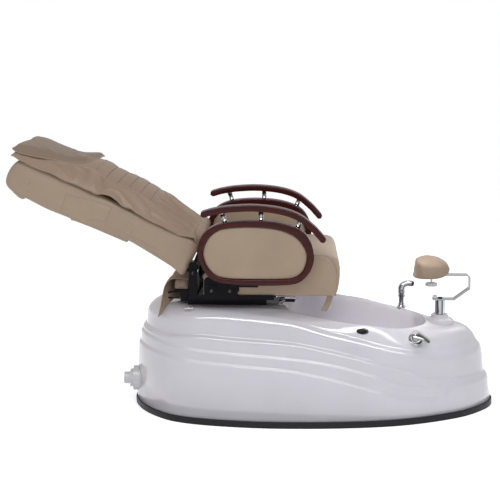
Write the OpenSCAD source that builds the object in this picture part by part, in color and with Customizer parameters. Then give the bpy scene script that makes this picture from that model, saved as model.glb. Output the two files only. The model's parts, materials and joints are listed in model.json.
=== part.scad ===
// Pedicure spa chair: a moulded foot tub with a sliding, reclining massage chair on it.
// X points to the foot end, Y across the tub and Z up. The origin is the centre of the tub on the floor.

/* [Tub] */
// Length of the tub over its kick trim
tub_len = 1458; // [1400:2:1520]
// Width of the tub over its kick trim
tub_w = 750; // [730:2:780]
// Height of the deck that the chair stands on
tub_h = 440; // [436:1:450]
// Thickness of the moulded skin
skin_t = 6; // [5:0.5:6]
// Height of the kick trim above the floor
trim_h = 31; // [24:1:40]

/* [Foot basin] */
// Width of the tub's shoulder on each side of the basin opening
bowl_side_w = 125; // [122:1:140]
// How far forward the basin's tip reaches, as a share of the tub's length
bowl_tip_share = 0.3107; // [0.302:0.001:0.314]
// Height of the basin floor
bowl_floor_z = 160; // [156:1:170]

/* [Chair] */
// Width of the seat cushion
seat_w = 488; // [470:2:488]
// Height of the seat's front edge
seat_top_z = 668; // [660:1:680]
// Width of the backrest
back_w = 500; // [480:2:500]
// Length of the backrest
back_len = 778; // [760:2:800]
// Angle of the backrest above the horizontal
back_angle = 25.4; // [24:0.2:27]

/* [Arms] */
// Width of the wooden arm rings and rails
arm_w = 50; // [44:1:54]
// Length of an arm ring
ring_len = 442; // [430:1:450]
// Height of an arm ring
ring_h = 250; // [244:1:256]

/* [Foot rest] */
// Diameter of the chrome post
post_d = 40; // [38:1:42]
// Height of the post's top above the floor
post_top_z = 427; // [420:1:430]
// Length of the foot pad
pad_len = 154; // [148:1:158]
// Width of the foot pad
pad_w = 150; // [130:2:160]

/* [Drain] */
// Outside diameter of the drain spigot
spigot_d = 48.26; // [48:0.02:50]

/* [Hidden] */

// Shared values: fineness, overrun for cuts, clearances
round_fn = 64;
small_fn = 32;
eps = 1;
fit = 0.2;
soft_gap = 0.6;
plate_t = 5;

// Colours
tan = [0.63, 0.56, 0.49];
mahogany = [0.27, 0.12, 0.12];
white = [0.85, 0.84, 0.87];
black = [0.12, 0.12, 0.12];
chrome = [0.8, 0.8, 0.82];
zinc = [0.65, 0.66, 0.68];

// Small helpers
function unit(v) = v / norm(v);
function mean(pts) = [for (k = [0:len(pts[0]) - 1]) let (n = len(pts))
    [for (p = pts) p[k]] * [for (i = [1:n]) 1] / n];
// A closed smooth curve through hand-set points, with some steps between each pair
function closed_curve(pts, steps) = let (n = len(pts)) [for (i = [0:n - 1], s = [0:steps - 1])
    let (a = pts[(i + n - 1) % n], b = pts[i], c = pts[(i + 1) % n], d = pts[(i + 2) % n], t = s / steps)
    (b * 2 + (c - a) * t + (a * 2 - b * 5 + c * 4 - d) * t * t + (b * 3 - a - c * 3 + d) * t * t * t) / 2];

// A closed skin over rings of points, all with the same number of points
module loft(rings) {
    n = len(rings);
    m = len(rings[0]);
    sides = [for (k = [0:n - 2], i = [0:m - 1]) let (j = (i + 1) % m)
        each [[k * m + i, (k + 1) * m + j, (k + 1) * m + i], [k * m + i, k * m + j, (k + 1) * m + j]]];
    first = [for (i = [m - 1:-1:0]) i];
    last = [for (i = [0:m - 1]) (n - 1) * m + i];
    polyhedron([for (r = rings) each r], concat([first], sides, [last]));
}

// A closed slab over a grid: two surfaces given as rows of points, joined round their edge
module slab(top, under) {
    n = len(top);
    m = len(top[0]);
    s = n * m;
    function at(side, i, j) = side * s + i * m + j;
    faces = concat(
        [for (i = [0:n - 2], j = [0:m - 2])
            each [[at(0, i, j), at(0, i + 1, j + 1), at(0, i + 1, j)], [at(0, i, j), at(0, i, j + 1), at(0, i + 1, j + 1)]]],
        [for (i = [0:n - 2], j = [0:m - 2])
            each [[at(1, i, j), at(1, i + 1, j), at(1, i + 1, j + 1)], [at(1, i, j), at(1, i + 1, j + 1), at(1, i, j + 1)]]],
        [for (i = [0:n - 2])
            each [[at(0, i, 0), at(0, i + 1, 0), at(1, i + 1, 0)], [at(0, i, 0), at(1, i + 1, 0), at(1, i, 0)]]],
        [for (i = [0:n - 2]) let (j = m - 1)
            each [[at(0, i, j), at(1, i + 1, j), at(0, i + 1, j)], [at(0, i, j), at(1, i, j), at(1, i + 1, j)]]],
        [for (j = [0:m - 2])
            each [[at(0, 0, j), at(1, 0, j), at(1, 0, j + 1)], [at(0, 0, j), at(1, 0, j + 1), at(0, 0, j + 1)]]],
        [for (j = [0:m - 2]) let (i = n - 1)
            each [[at(0, i, j), at(1, i, j + 1), at(1, i, j)], [at(0, i, j), at(0, i, j + 1), at(1, i, j + 1)]]]);
    polyhedron(concat([for (r = top) each r], [for (r = under) each r]), faces);
}

// A flat plate lying in X and Y with rounded corners
module plate2d(l, w, r) {
    square([l - 2 * r, w], center = true);
    square([l, w - 2 * r], center = true);
    for (sx = [-1, 1], sy = [-1, 1])
        translate([sx * (l / 2 - r), sy * (w / 2 - r)])
            circle(r = r, $fn = small_fn);
}

// A round rod between two points
module rod(a, b, r) {
    d = b - a;
    translate(a)
        rotate([0, acos(d[2] / norm(d)), atan2(d[1], d[0])])
            cylinder(h = norm(d), r = r, $fn = small_fn);
}

// A profile drawn in X and Z, extruded across Y from y0 to y1
module across(y0, y1) {
    translate([0, max(y0, y1), 0])
        rotate([90, 0, 0])
            linear_extrude(abs(y1 - y0))
                children();
}

// Mirrors its children across the middle plane when the side is negative
module scale_y(side) {
    mirror([0, side < 0 ? 1 : 0, 0])
        children();
}

// A round bar lying across Y
module cross_rod(x, z, y0, y1, r) {
    translate([x, min(y0, y1), z])
        rotate([-90, 0, 0])
            cylinder(h = abs(y1 - y0), r = r, $fn = round_fn);
}

// Tub: plan of the skirt, as shares of its length and of its half width, from the rear to the front
plan_shares = [[-0.5, 0], [-0.498, 0.12], [-0.489, 0.245], [-0.474, 0.381], [-0.451, 0.525],
    [-0.421, 0.661], [-0.385, 0.779], [-0.341, 0.859], [-0.289, 0.915], [-0.23, 0.957], [-0.167, 0.987],
    [-0.103, 1], [-0.039, 0.997], [0.023, 0.987], [0.086, 0.965], [0.147, 0.933], [0.205, 0.888],
    [0.26, 0.824], [0.311, 0.744], [0.356, 0.656], [0.397, 0.563], [0.433, 0.448], [0.463, 0.323],
    [0.485, 0.203], [0.497, 0.093], [0.5, 0]];
// Heights along the tub, as a share of the tub's length and a share of the deck's height
low_crease_shares = [[-0.55, 0.595], [-0.418, 0.582], [-0.307, 0.555], [-0.178, 0.536], [-0.105, 0.518],
    [0.012, 0.452], [0.147, 0.32], [0.26, 0.223], [0.356, 0.195], [0.55, 0.19]];
high_crease_shares = [[-0.55, 0.709], [-0.392, 0.675], [-0.307, 0.655], [-0.245, 0.645], [-0.123, 0.623],
    [0.012, 0.57], [0.147, 0.448], [0.26, 0.33], [0.33, 0.291], [0.55, 0.255]];
ledge_shares = [[-0.55, 0.75], [-0.431, 0.761], [-0.298, 0.789], [-0.227, 0.777], [-0.132, 0.764],
    [-0.068, 0.748], [0.027, 0.684], [0.123, 0.598], [0.187, 0.527], [0.251, 0.455], [0.315, 0.393],
    [0.379, 0.359], [0.429, 0.341], [0.55, 0.311]];
brow_shares = [[-0.55, 0.94], [-0.446, 0.95], [-0.336, 0.965], [-0.259, 0.975], [-0.176, 0.964],
    [-0.068, 0.925], [0.027, 0.836], [0.123, 0.752], [0.187, 0.689], [0.251, 0.643], [0.309, 0.614],
    [0.384, 0.6], [0.55, 0.6]];
rim_shares = [[-0.55, 1], [-0.088, 1], [-0.069, 0.973], [-0.04, 0.955], [0.028, 0.916], [0.097, 0.882],
    [0.151, 0.857], [0.199, 0.825], [0.243, 0.805], [0.309, 0.789], [0.55, 0.75]];
// How far in the brow lies, as a share of the tub's length and of the widest inset
brow_in_shares = [[-0.5, 0.9], [-0.336, 0.95], [-0.068, 1], [0.123, 0.93], [0.251, 0.77], [0.357, 0.75], [0.5, 0.84]];
// Steps between the brow (0) and the basin's edge (1), and the share of the rise that each has reached
shoulder_steps = [0.08, 0.25, 0.6];
rise_shares = [
    [[-0.5, 0.95], [-0.3, 0.9], [-0.15, 0.5], [-0.06, 0.2], [0.26, 0.13], [0.36, 0.22], [0.45, 0.38], [0.5, 0.4]],
    [[-0.5, 1], [-0.25, 1], [-0.15, 0.8], [-0.06, 0.4], [0.26, 0.34], [0.36, 0.5], [0.45, 0.72], [0.5, 0.75]],
    [[-0.5, 1], [-0.15, 1], [-0.06, 0.75], [0.26, 0.7], [0.36, 0.75], [0.5, 0.8]]];
skirt_gap = 12;
trim_t = 3.5;
skirt_lean = 18;
lap_step = 4;
lap_rise = 3;
ledge_in = 30;
ledge_drop = 8;
wall_in = 50;
brow_in = 82;
brow_round = 20;
bowl_w = tub_w - 2 * bowl_side_w;
bowl_tip_x = tub_len * bowl_tip_share;
bowl_mid_share = 0.10288;
bowl_mid_x = tub_len * bowl_mid_share;
bowl_rear_share = 0.19204;
bowl_rear_len = tub_len * bowl_rear_share;
bowl_power = 4;
bowl_lip = 8;
// Basin wall from its edge down: shares of the opening and of the depth
bowl_wall_shares = [[1, 1], [0.985, 0.975], [0.965, 0.9], [0.9, 0.2], [0.86, 0.07], [0.78, 0]];
// Places on the rim: share of the length, distance in from the plan's widest line, share of the height
button_side_in = 111;
button_shares = [0.1214, 0.81364];
button_at = [tub_len * button_shares[0], button_side_in - tub_w / 2, tub_h * button_shares[1]];
button_tilt = 59;
button_yaw = -83;
mixer_plan_in = 89.6;
mixer_shares = [0.26749, 0.40611, 0.71136];
mixer_at = [tub_len * mixer_shares[0], mixer_plan_in - tub_w * mixer_shares[1], tub_h * mixer_shares[2]];
mixer_tilt = 40;
mixer_yaw = -80;
spray_side_in = 189;
spray_shares = [0.25446, 0.78409];
spray_at = [tub_len * spray_shares[0], tub_w / 2 - spray_side_in, tub_h * spray_shares[1]];
post_share = 0.34911;
post_x = tub_len * post_share;
drain_x = 60;
drain_y = 45;
spigot_z = 101;

half_plan = [for (s = plan_shares) [s[0] * tub_len, s[1] * tub_w / 2]];
plan_ring = concat(half_plan, [for (i = [len(half_plan) - 2:-1:1]) [half_plan[i][0], -half_plan[i][1]]]);
ring_n = len(plan_ring);
// The walls step in toward the nearest point of a spine along the tub's middle
spine_shares = [-0.27, 0.24];
function inward(i) = let (p = plan_ring[i], x = max(min(p[0], spine_shares[1] * tub_len), spine_shares[0] * tub_len))
    unit([x - p[0], -p[1]]);
function in_by(i, d) = plan_ring[i] + inward(i) * d;
function height(x, shares) = lookup(x / tub_len, shares) * tub_h;
function skirt_ring(d, shares, lift) = [for (i = [0:ring_n - 1]) let (p = in_by(i, d))
    [p[0], p[1], height(plan_ring[i][0], shares) + lift]];
function brow_point(i, d) = let (p = in_by(i, brow_in * lookup(plan_ring[i][0] / tub_len, brow_in_shares) + d))
    [p[0], p[1], height(plan_ring[i][0], brow_shares)];
// The basin's edge in the direction of a plan point: half an ellipse in front, squarer behind
function bowl_reach(a) = let (c = cos(a), s = sin(a), front = c > 0,
        l = front ? bowl_tip_x - bowl_mid_x : bowl_rear_len, n = front ? 2 : bowl_power)
    pow(pow(abs(c) / l, n) + pow(abs(s) / (bowl_w / 2), n), -1 / n);
function bowl_point(i, share, grow) = let (p = brow_point(i, 0), a = atan2(p[1], p[0] - bowl_mid_x),
        r = bowl_reach(a) * share + grow)
    [bowl_mid_x + r * cos(a), r * sin(a)];
function bowl_edge_z(i) = let (p = bowl_point(i, 1, 0)) height(p[0], rim_shares);
function shoulder_point(i, k, grow) = let (a = brow_point(i, grow), b = bowl_point(i, 1, grow), t = shoulder_steps[k],
        rise = lookup(plan_ring[i][0] / tub_len, rise_shares[k]))
    [a[0] + (b[0] - a[0]) * t, a[1] + (b[1] - a[1]) * t, a[2] + (bowl_edge_z(i) - a[2]) * rise];
function bowl_wall(k, grow, drop) = [for (i = [0:ring_n - 1]) let (w = bowl_wall_shares[k],
        p = bowl_point(i, w[0], grow), z = bowl_floor_z + (bowl_edge_z(i) - bowl_floor_z) * w[1])
    [p[0], p[1], z - drop]];
// One side of the skin, from the floor up over the rim and down into the basin
function skin_side(t) = concat(
    [[for (i = [0:ring_n - 1]) let (p = in_by(i, trim_t + fit + t)) [p[0], p[1], skirt_gap]]],
    [skirt_ring(skirt_lean + t, low_crease_shares, 0)],
    [skirt_ring(skirt_lean + lap_step + t, low_crease_shares, lap_rise)],
    [skirt_ring(skirt_lean + lap_step * 3 / 2 + t, high_crease_shares, 0)],
    [skirt_ring(skirt_lean + lap_step * 5 / 2 + t, high_crease_shares, lap_rise)],
    [skirt_ring(ledge_in + t, ledge_shares, -ledge_drop)],
    [skirt_ring(wall_in + t, ledge_shares, t > 0 ? -t : 0)],
    [[for (i = [0:ring_n - 1]) let (p = brow_point(i, t - brow_round)) [p[0], p[1], p[2] - brow_round]]],
    [[for (i = [0:ring_n - 1]) let (p = brow_point(i, t / 2)) [p[0], p[1], p[2] - t]]],
    [for (k = [0:len(shoulder_steps) - 1]) [for (i = [0:ring_n - 1]) shoulder_point(i, k, 0) - [0, 0, t]]],
    [for (k = [0:len(bowl_wall_shares) - 1]) bowl_wall(k, t, t)]);

// The tub as one filled body, to cut what is seated on it to its shape
module tub_body() {
    loft(skin_side(0));
}

module kick_profile(d) {
    polygon([for (i = [0:ring_n - 1]) in_by(i, d)]);
}

drain_tail_r = 21.7;
union_thread_r = 25.8;
mixer_shank_r = 12;
spray_body_r = 15;
button_stem_r = 9;
post_bolt_r = 8;
seat_hole_depth = 40;
bolt_r = 4;
deck_bolt_xs = [-470, -215];
deck_bolt_y = 156;
jet_r = 24;
jet_y = 60;
jet_z = 290;

// Lays its children on the rim at a place, leaning outward by tilt toward yaw
module on_rim(at, tilt, yaw) {
    translate(at)
        rotate([0, tilt, yaw])
            children();
}

// Brings what lies in the tub's own frame into the frame of a place on the rim
module on_plane(at, tilt, yaw) {
    rotate([0, -tilt, 0])
        rotate([0, 0, -yaw])
            translate(-at)
                children();
}

// Through hole for a round part, centred on its children's origin
module hole(r, depth) {
    translate([0, 0, -depth])
        cylinder(h = 2 * depth, r = r + fit, $fn = round_fn);
}

module tub_shell() {
    outer = skin_side(0);
    inner = skin_side(skin_t);
    color(white)
        difference() {
            loft(concat([for (k = [len(inner) - 1:-1:0]) inner[k]], outer));
            translate([drain_x, 0, bowl_floor_z])
                hole(drain_tail_r, skin_t + eps);
            translate([-tub_len / 2, -drain_y, spigot_z])
                rotate([0, 90, 0])
                    hole(union_thread_r, seat_hole_depth);
            on_rim(mixer_at, mixer_tilt, mixer_yaw)
                hole(mixer_shank_r, seat_hole_depth);
            translate(spray_at)
                hole(spray_body_r, seat_hole_depth);
            on_rim(button_at, button_tilt, button_yaw)
                hole(button_stem_r, seat_hole_depth / 2);
            translate([post_x, 0, tub_h * 3 / 4])
                hole(post_bolt_r, seat_hole_depth);
            translate([bowl_mid_x - bowl_rear_len, jet_y, jet_z])
                rotate([0, 90, 0])
                    hole(jet_r, seat_hole_depth);
            for (x = deck_bolt_xs, s = [-1, 1])
                translate([x, s * deck_bolt_y, tub_h])
                    hole(bolt_r, skin_t + eps);
        }
}
tub_shell();

module kick_trim() {
    color(black) {
        linear_extrude(trim_h)
            difference() {
                kick_profile(0);
                kick_profile(trim_t);
            }
        translate([0, 0, skirt_gap / 2])
            linear_extrude(skirt_gap / 2)
                difference() {
                    kick_profile(trim_t);
                    kick_profile(trim_t * 3 + skin_t);
                }
    }
}
kick_trim();

// Under-frame of welded square tube, its feet and their nuts
frame_tube = 40;
frame_wall = 2.5;
frame_z = 30;
frame_y = 150;
frame_rear_x = -540;
frame_front_x = 460;
upright_xs = [-470, -215];
foot_xs = [-520, 0, 440];
foot_pad_r = 22;
foot_pad_t = 8;
foot_stem_r = 6;
foot_nut_r = 12;
foot_nut_t = 8;
top_plate_t = 4;
top_plate_l = 60;

// A square tube from a corner, along one axis, open at its ends
module square_tube(from, size, along) {
    w = [for (k = [0:2]) k == along ? -eps : frame_wall];
    translate(from)
        difference() {
            cube(size);
            translate(w)
                cube([for (k = [0:2]) k == along ? size[k] + 2 * eps : size[k] - 2 * frame_wall]);
        }
}

module base_frame() {
    long_l = frame_front_x - frame_rear_x;
    upright_h = tub_h - skin_t - top_plate_t - frame_z - frame_tube;
    color(black)
        difference() {
            union() {
                for (s = [-1, 1])
                    square_tube([frame_rear_x, s * frame_y - frame_tube / 2, frame_z], [long_l, frame_tube, frame_tube], 0);
                for (x = foot_xs)
                    square_tube([x - frame_tube / 2, -frame_y + frame_tube / 2, frame_z],
                        [frame_tube, 2 * frame_y - frame_tube, frame_tube], 1);
                for (x = upright_xs, s = [-1, 1]) {
                    square_tube([x - frame_tube / 2, s * frame_y - frame_tube / 2, frame_z + frame_tube],
                        [frame_tube, frame_tube, upright_h], 2);
                }
                intersection() {
                    for (x = upright_xs, s = [-1, 1])
                        translate([x, s * frame_y, tub_h - skin_t - top_plate_t / 2])
                            cube([top_plate_l, top_plate_l, top_plate_t], center = true);
                    loft(skin_side(skin_t + fit));
                }
            }
            for (x = foot_xs, s = [-1, 1])
                translate([x, s * frame_y, frame_z])
                    hole(foot_stem_r, frame_wall + eps);
            translate([0, 0, frame_z])
                hole(foot_stem_r, frame_wall + eps);
            for (x = deck_bolt_xs, s = [-1, 1])
                translate([x, s * deck_bolt_y, tub_h - skin_t])
                    hole(bolt_r, top_plate_t + eps);
        }
}
base_frame();

foot_places = concat([[0, 0]], [for (x = foot_xs, s = [-1, 1]) [x, s * frame_y]]);

module levelling_feet() {
    color(black)
        for (p = foot_places)
            translate([p[0], p[1], 0]) {
                cylinder(h = foot_pad_t, r = foot_pad_r, $fn = round_fn);
                cylinder(h = frame_z + frame_tube / 2, r = foot_stem_r, $fn = small_fn);
                translate([0, 0, frame_z - foot_nut_t])
                    cylinder(h = foot_nut_t, r = foot_nut_r, $fn = 6);
            }
}
levelling_feet();

// Drain: strainer in the basin floor, pipe back to the union and its spigot at the rear
strainer_r = 36;
strainer_t = 3;
strainer_slot = 4;
strainer_slot_l = 30;
pipe_r = 24;
pipe_wall = 3;
drain_tail_l = 22;
pipe_front_x = 84;
pipe_rear_in = 39;
pipe_rear_x = pipe_rear_in - tub_len / 2;

module basin_drain() {
    color(chrome)
        translate([drain_x, 0, bowl_floor_z])
            difference() {
                union() {
                    cylinder(h = strainer_t, r = strainer_r, $fn = round_fn);
                    translate([0, 0, -drain_tail_l])
                        cylinder(h = drain_tail_l, r = drain_tail_r, $fn = round_fn);
                }
                translate([0, 0, -drain_tail_l - eps])
                    cylinder(h = drain_tail_l, r = drain_tail_r - pipe_wall, $fn = round_fn);
                for (a = [0:60:179])
                    rotate(a)
                        cube([strainer_slot_l, strainer_slot, 4 * strainer_t], center = true);
            }
}
basin_drain();

module drain_pipe() {
    top_z = bowl_floor_z - drain_tail_l;
    color(white)
        difference() {
            union() {
                translate([pipe_rear_x, -drain_y, spigot_z])
                    rotate([0, 90, 0])
                        cylinder(h = drain_x - pipe_rear_x, r = pipe_r, $fn = round_fn);
                translate([drain_x, -drain_y, spigot_z])
                    sphere(r = pipe_r, $fn = round_fn);
                translate([drain_x, -drain_y, spigot_z])
                    rotate([-90, 0, 0])
                        cylinder(h = drain_y, r = pipe_r, $fn = round_fn);
                translate([drain_x, 0, spigot_z])
                    sphere(r = pipe_r, $fn = round_fn);
                translate([drain_x, 0, spigot_z])
                    cylinder(h = top_z - spigot_z, r = pipe_r, $fn = round_fn);
            }
            translate([drain_x, 0, spigot_z])
                cylinder(h = top_z - spigot_z + eps, r = pipe_r - pipe_wall, $fn = round_fn);
        }
}
drain_pipe();

union_flange_r = 50;
union_flange_t = 9;
union_l = 36;
spigot_l = 48;
spigot_bore_r = 20;
union_nut_r = 38;
union_nut_t = 14;

module drain_union() {
    x0 = -tub_len / 2 - union_flange_t / 2;
    color(white)
        translate([0, -drain_y, spigot_z])
            difference() {
                union() {
                    translate([x0 - spigot_l + union_flange_t, 0, 0])
                        rotate([0, 90, 0])
                            cylinder(h = spigot_l - union_flange_t, r = spigot_d / 2, $fn = round_fn);
                    difference() {
                        translate([x0, 0, 0])
                            rotate([0, 90, 0])
                                cylinder(h = union_l, r = union_flange_r, $fn = small_fn);
                        translate([0, drain_y, -spigot_z])
                            tub_body();
                    }
                    translate([x0 - union_nut_t, 0, 0])
                        rotate([0, 90, 0])
                            cylinder(h = union_nut_t, r = union_nut_r, $fn = 8);
                    translate([x0, 0, 0])
                        rotate([0, 90, 0])
                            cylinder(h = pipe_rear_x - x0, r = union_thread_r, $fn = round_fn);
                }
                translate([x0 - spigot_l, 0, 0])
                    rotate([0, 90, 0])
                        cylinder(h = 2 * spigot_l + union_l, r = spigot_bore_r, $fn = round_fn);
            }
}
drain_union();

// Whirlpool jet in the basin's rear wall, its pump under the deck and the pipe between them
jet_flange_r = 38;
jet_flange_t = 6;
jet_l = 46;
jet_bore_r = 14;
pump_r = 55;
pump_l = 170;
pump_x = -360;
pump_y = 60;
pump_z = 200;
pump_foot = 20;
pump_outlet_h = 6;
jet_pipe_r = 18;

module jet_nozzle() {
    color(white)
        translate([bowl_mid_x - bowl_rear_len, jet_y, jet_z])
            rotate([0, 90, 0])
                difference() {
                    union() {
                        translate([0, 0, -jet_l / 2])
                            cylinder(h = jet_l, r = jet_r, $fn = round_fn);
                        difference() {
                            translate([0, 0, jet_l / 4])
                                cylinder(h = jet_l / 4 + 2 * jet_flange_t, r = jet_flange_r, $fn = small_fn);
                            on_plane([bowl_mid_x - bowl_rear_len, jet_y, jet_z], 90, 0)
                                tub_body();
                        }
                    }
                    translate([0, 0, jet_l / 4])
                        cylinder(h = jet_l, r = jet_bore_r, $fn = round_fn);
                }
}
jet_nozzle();

module jet_pump() {
    pad_z = frame_z + frame_tube;
    color(black) {
        translate([pump_x - pump_l / 2, pump_y, pump_z])
            rotate([0, 90, 0])
                cylinder(h = pump_l, r = pump_r, $fn = round_fn);
        translate([pump_x + pump_l / 4, pump_y, pump_z])
            cylinder(h = pump_r + pump_outlet_h, r = jet_pipe_r, $fn = round_fn);
        difference() {
            translate([pump_x - pump_foot, pump_y - pump_r, pad_z])
                cube([2 * pump_foot, frame_y + frame_tube / 2 - pump_y + pump_r, pump_z - pad_z]);
            translate([pump_x - pump_l, pump_y, pump_z])
                rotate([0, 90, 0])
                    cylinder(h = 2 * pump_l, r = pump_r - eps, $fn = round_fn);
            translate([pump_x - 2 * pump_foot, -drain_y - pipe_r * 2, pad_z - eps])
                cube([4 * pump_foot, pipe_r * 4, spigot_z + pipe_r - pad_z + 2 * eps]);
        }
    }
}
jet_pump();

module jet_pipe() {
    x1 = bowl_mid_x - bowl_rear_len - jet_l / 2;
    x0 = pump_x + pump_l / 4;
    color(white) {
        translate([x0, jet_y, jet_z])
            rotate([0, 90, 0])
                cylinder(h = x1 - x0, r = jet_pipe_r, $fn = round_fn);
        translate([x0, jet_y, jet_z])
            sphere(r = jet_pipe_r, $fn = round_fn);
        translate([x0, jet_y, pump_z + pump_r + pump_outlet_h])
            cylinder(h = jet_z - pump_z - pump_r - pump_outlet_h, r = jet_pipe_r, $fn = round_fn);
    }
}
jet_pipe();

// Slide base on the deck: two steel angles, their cross bars, bolts and the fixed rails
base_rear_x = -500;
base_front_x = -190;
base_web_y = 180;
base_floor_w = 36;
base_h = 34;
base_wall = 3;
base_bar_w = 30;
rail_h = 26;
rail_t = 11;
rail_front_x = -135;
rail_lift = 3;
boss_r = 15;

module slide_base() {
    color(black)
        difference() {
            union() {
                for (s = [-1, 1]) {
                    translate([base_rear_x, s > 0 ? base_web_y - base_wall : -base_web_y, tub_h])
                        cube([base_front_x - base_rear_x, base_wall, base_h]);
                    translate([base_rear_x, s > 0 ? base_web_y - base_floor_w : -base_web_y, tub_h])
                        cube([base_front_x - base_rear_x, base_floor_w, base_wall]);
                    translate([base_rear_x + boss_r, s > 0 ? base_web_y : -base_web_y - 2 * base_wall, tub_h + base_h - boss_r])
                        rotate([-90, 0, 0])
                            cylinder(h = 2 * base_wall, r = boss_r, $fn = round_fn);
                }
                for (x = [base_rear_x, base_front_x - base_bar_w])
                    translate([x, -base_web_y, tub_h])
                        cube([base_bar_w, 2 * base_web_y, base_wall]);
            }
            for (x = deck_bolt_xs, s = [-1, 1])
                translate([x, s * deck_bolt_y, tub_h])
                    hole(bolt_r, base_wall + eps);
        }
}
slide_base();

bolt_head_r = 7;
bolt_head_t = 4;

module deck_bolts() {
    color(zinc)
        for (x = deck_bolt_xs, s = [-1, 1])
            translate([x, s * deck_bolt_y, tub_h + base_wall]) {
                cylinder(h = bolt_head_t, r = bolt_head_r, $fn = 6);
                translate([0, 0, -base_wall - skin_t - 2 * top_plate_t])
                    cylinder(h = base_wall + skin_t + 2 * top_plate_t, r = bolt_r, $fn = small_fn);
            }
}
deck_bolts();

// The fixed rail is a channel that opens inward, bolted inside each angle
module slide_rails() {
    z0 = tub_h + base_wall + rail_lift;
    color(zinc)
        for (s = [-1, 1])
            scale_y(s)
                translate([base_rear_x, base_web_y - base_wall - rail_t, z0])
                    difference() {
                        cube([rail_front_x - base_rear_x, rail_t, rail_h]);
                        translate([-eps, -eps, base_wall])
                            cube([rail_front_x - base_rear_x + 2 * eps, rail_t - base_wall + eps, rail_h - 2 * base_wall]);
                    }
}
slide_rails();

// Air button on the near rim: an oval cap on a stem that pumps air through the bezel
button_l = 54;
button_w = 32;
bezel_t = 4.5;
button_travel = 3;
button_top = 4;
button_stem_in = 12;

module button_oval(grow) {
    rotate(90)
        plate2d(button_l + grow, button_w + grow, button_w / 2 - eps);
}

module button_bezel() {
    color(black)
        on_rim(button_at, button_tilt, button_yaw)
            difference() {
                union() {
                    difference() {
                        translate([0, 0, -2 * bezel_t])
                            linear_extrude(3 * bezel_t)
                                button_oval(0);
                        on_plane(button_at, button_tilt, button_yaw)
                            tub_body();
                    }
                    translate([0, 0, -button_stem_in - 2 * button_travel])
                        cylinder(h = button_stem_in + 2 * button_travel, r = button_stem_r, $fn = round_fn);
                }
                translate([0, 0, -button_stem_in - button_travel - eps])
                    cylinder(h = button_stem_in + 2 * bezel_t + button_travel + eps, r = button_stem_r / 2 + fit, $fn = round_fn);
            }
}
button_bezel();

module air_button() {
    color(black)
        on_rim(button_at, button_tilt, button_yaw) {
            translate([0, 0, bezel_t + button_travel + fit])
                linear_extrude(button_top)
                    button_oval(-button_top);
            translate([0, 0, -button_stem_in])
                cylinder(h = button_stem_in + bezel_t + button_travel + button_top, r = button_stem_r / 2, $fn = round_fn);
        }
}
air_button();

// Single lever mixer on the near rim
mixer_plate_r = 27;
mixer_plate_t = 7;
mixer_skirt = 14;
mixer_shank_l = 34;
mixer_body_r = 19;
mixer_body_h = 21;
mixer_lever_yaw = 60;
lever_l = 62;
lever_w = 26;
lever_tip_w = 15;
lever_t = 7;
lever_hub_r = 17;

module mixer_base() {
    color(chrome) {
        difference() {
            on_rim(mixer_at, mixer_tilt, mixer_yaw)
                translate([0, 0, -mixer_skirt])
                    cylinder(h = mixer_skirt + mixer_plate_t, r = mixer_plate_r, $fn = small_fn);
            tub_body();
        }
        on_rim(mixer_at, mixer_tilt, mixer_yaw)
            translate([0, 0, -mixer_shank_l])
                cylinder(h = mixer_shank_l + mixer_plate_t, r = mixer_shank_r, $fn = round_fn);
    }
}
mixer_base();

module mixer_body() {
    color(chrome)
        on_rim(mixer_at, mixer_tilt, mixer_yaw)
            translate([0, 0, mixer_plate_t])
                cylinder(h = mixer_body_h, r = mixer_body_r, $fn = round_fn);
}
mixer_body();

module mixer_lever() {
    color(chrome)
        on_rim(mixer_at, mixer_tilt, mixer_yaw)
            rotate(mixer_lever_yaw)
                translate([0, 0, mixer_plate_t + mixer_body_h + fit]) {
                    cylinder(h = lever_t, r = lever_hub_r, $fn = round_fn);
                    translate([-lever_hub_r, 0, lever_t / 2])
                        rotate([90, 0, 0])
                            cylinder(h = lever_hub_r, r = lever_t / 2, center = true, $fn = round_fn);
                    linear_extrude(lever_t)
                        polygon([[0, -lever_w / 2], [lever_l, -lever_tip_w / 2], [lever_l, lever_tip_w / 2], [0, lever_w / 2]]);
                    translate([lever_l, 0, 0])
                        cylinder(h = lever_t, r = lever_tip_w / 2, $fn = small_fn);
                }
}
mixer_lever();

// Pull-out hand spray in its holder on the far rim
spray_flange_r = 22;
spray_flange_t = 4;
spray_skirt = 22;
spray_bore_r = 11;
spray_r = 10;
spray_depth = 30;
spray_top_z = 438;
spray_reach = 50;
spray_face_r = 12;
spray_face_t = 8;

module spray_base() {
    color(chrome)
        translate(spray_at)
            difference() {
                union() {
                    difference() {
                        translate([0, 0, -spray_skirt])
                            cylinder(h = spray_skirt + spray_flange_t * 3, r = spray_flange_r, $fn = small_fn);
                        translate(-spray_at)
                            tub_body();
                    }
                    translate([0, 0, -spray_depth])
                        cylinder(h = spray_depth + spray_flange_t * 4, r = spray_body_r, $fn = round_fn);
                }
                translate([0, 0, -spray_depth - eps])
                    cylinder(h = 3 * spray_depth, r = spray_bore_r, $fn = round_fn);
            }
}
spray_base();

module spray_head() {
    color(chrome) {
        translate([spray_at[0], spray_at[1], spray_at[2] - spray_depth])
            cylinder(h = spray_top_z - spray_at[2] + spray_depth, r = spray_r, $fn = round_fn);
        translate([spray_at[0], spray_at[1], spray_top_z])
            sphere(r = spray_r, $fn = round_fn);
        translate([spray_at[0], spray_at[1], spray_top_z])
            rotate([0, 90, 0]) {
                cylinder(h = spray_reach, r = spray_r - eps, $fn = round_fn);
                translate([0, 0, spray_reach - spray_face_t])
                    cylinder(h = spray_face_t, r = spray_face_r, $fn = round_fn);
            }
    }
}
spray_head();

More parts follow.
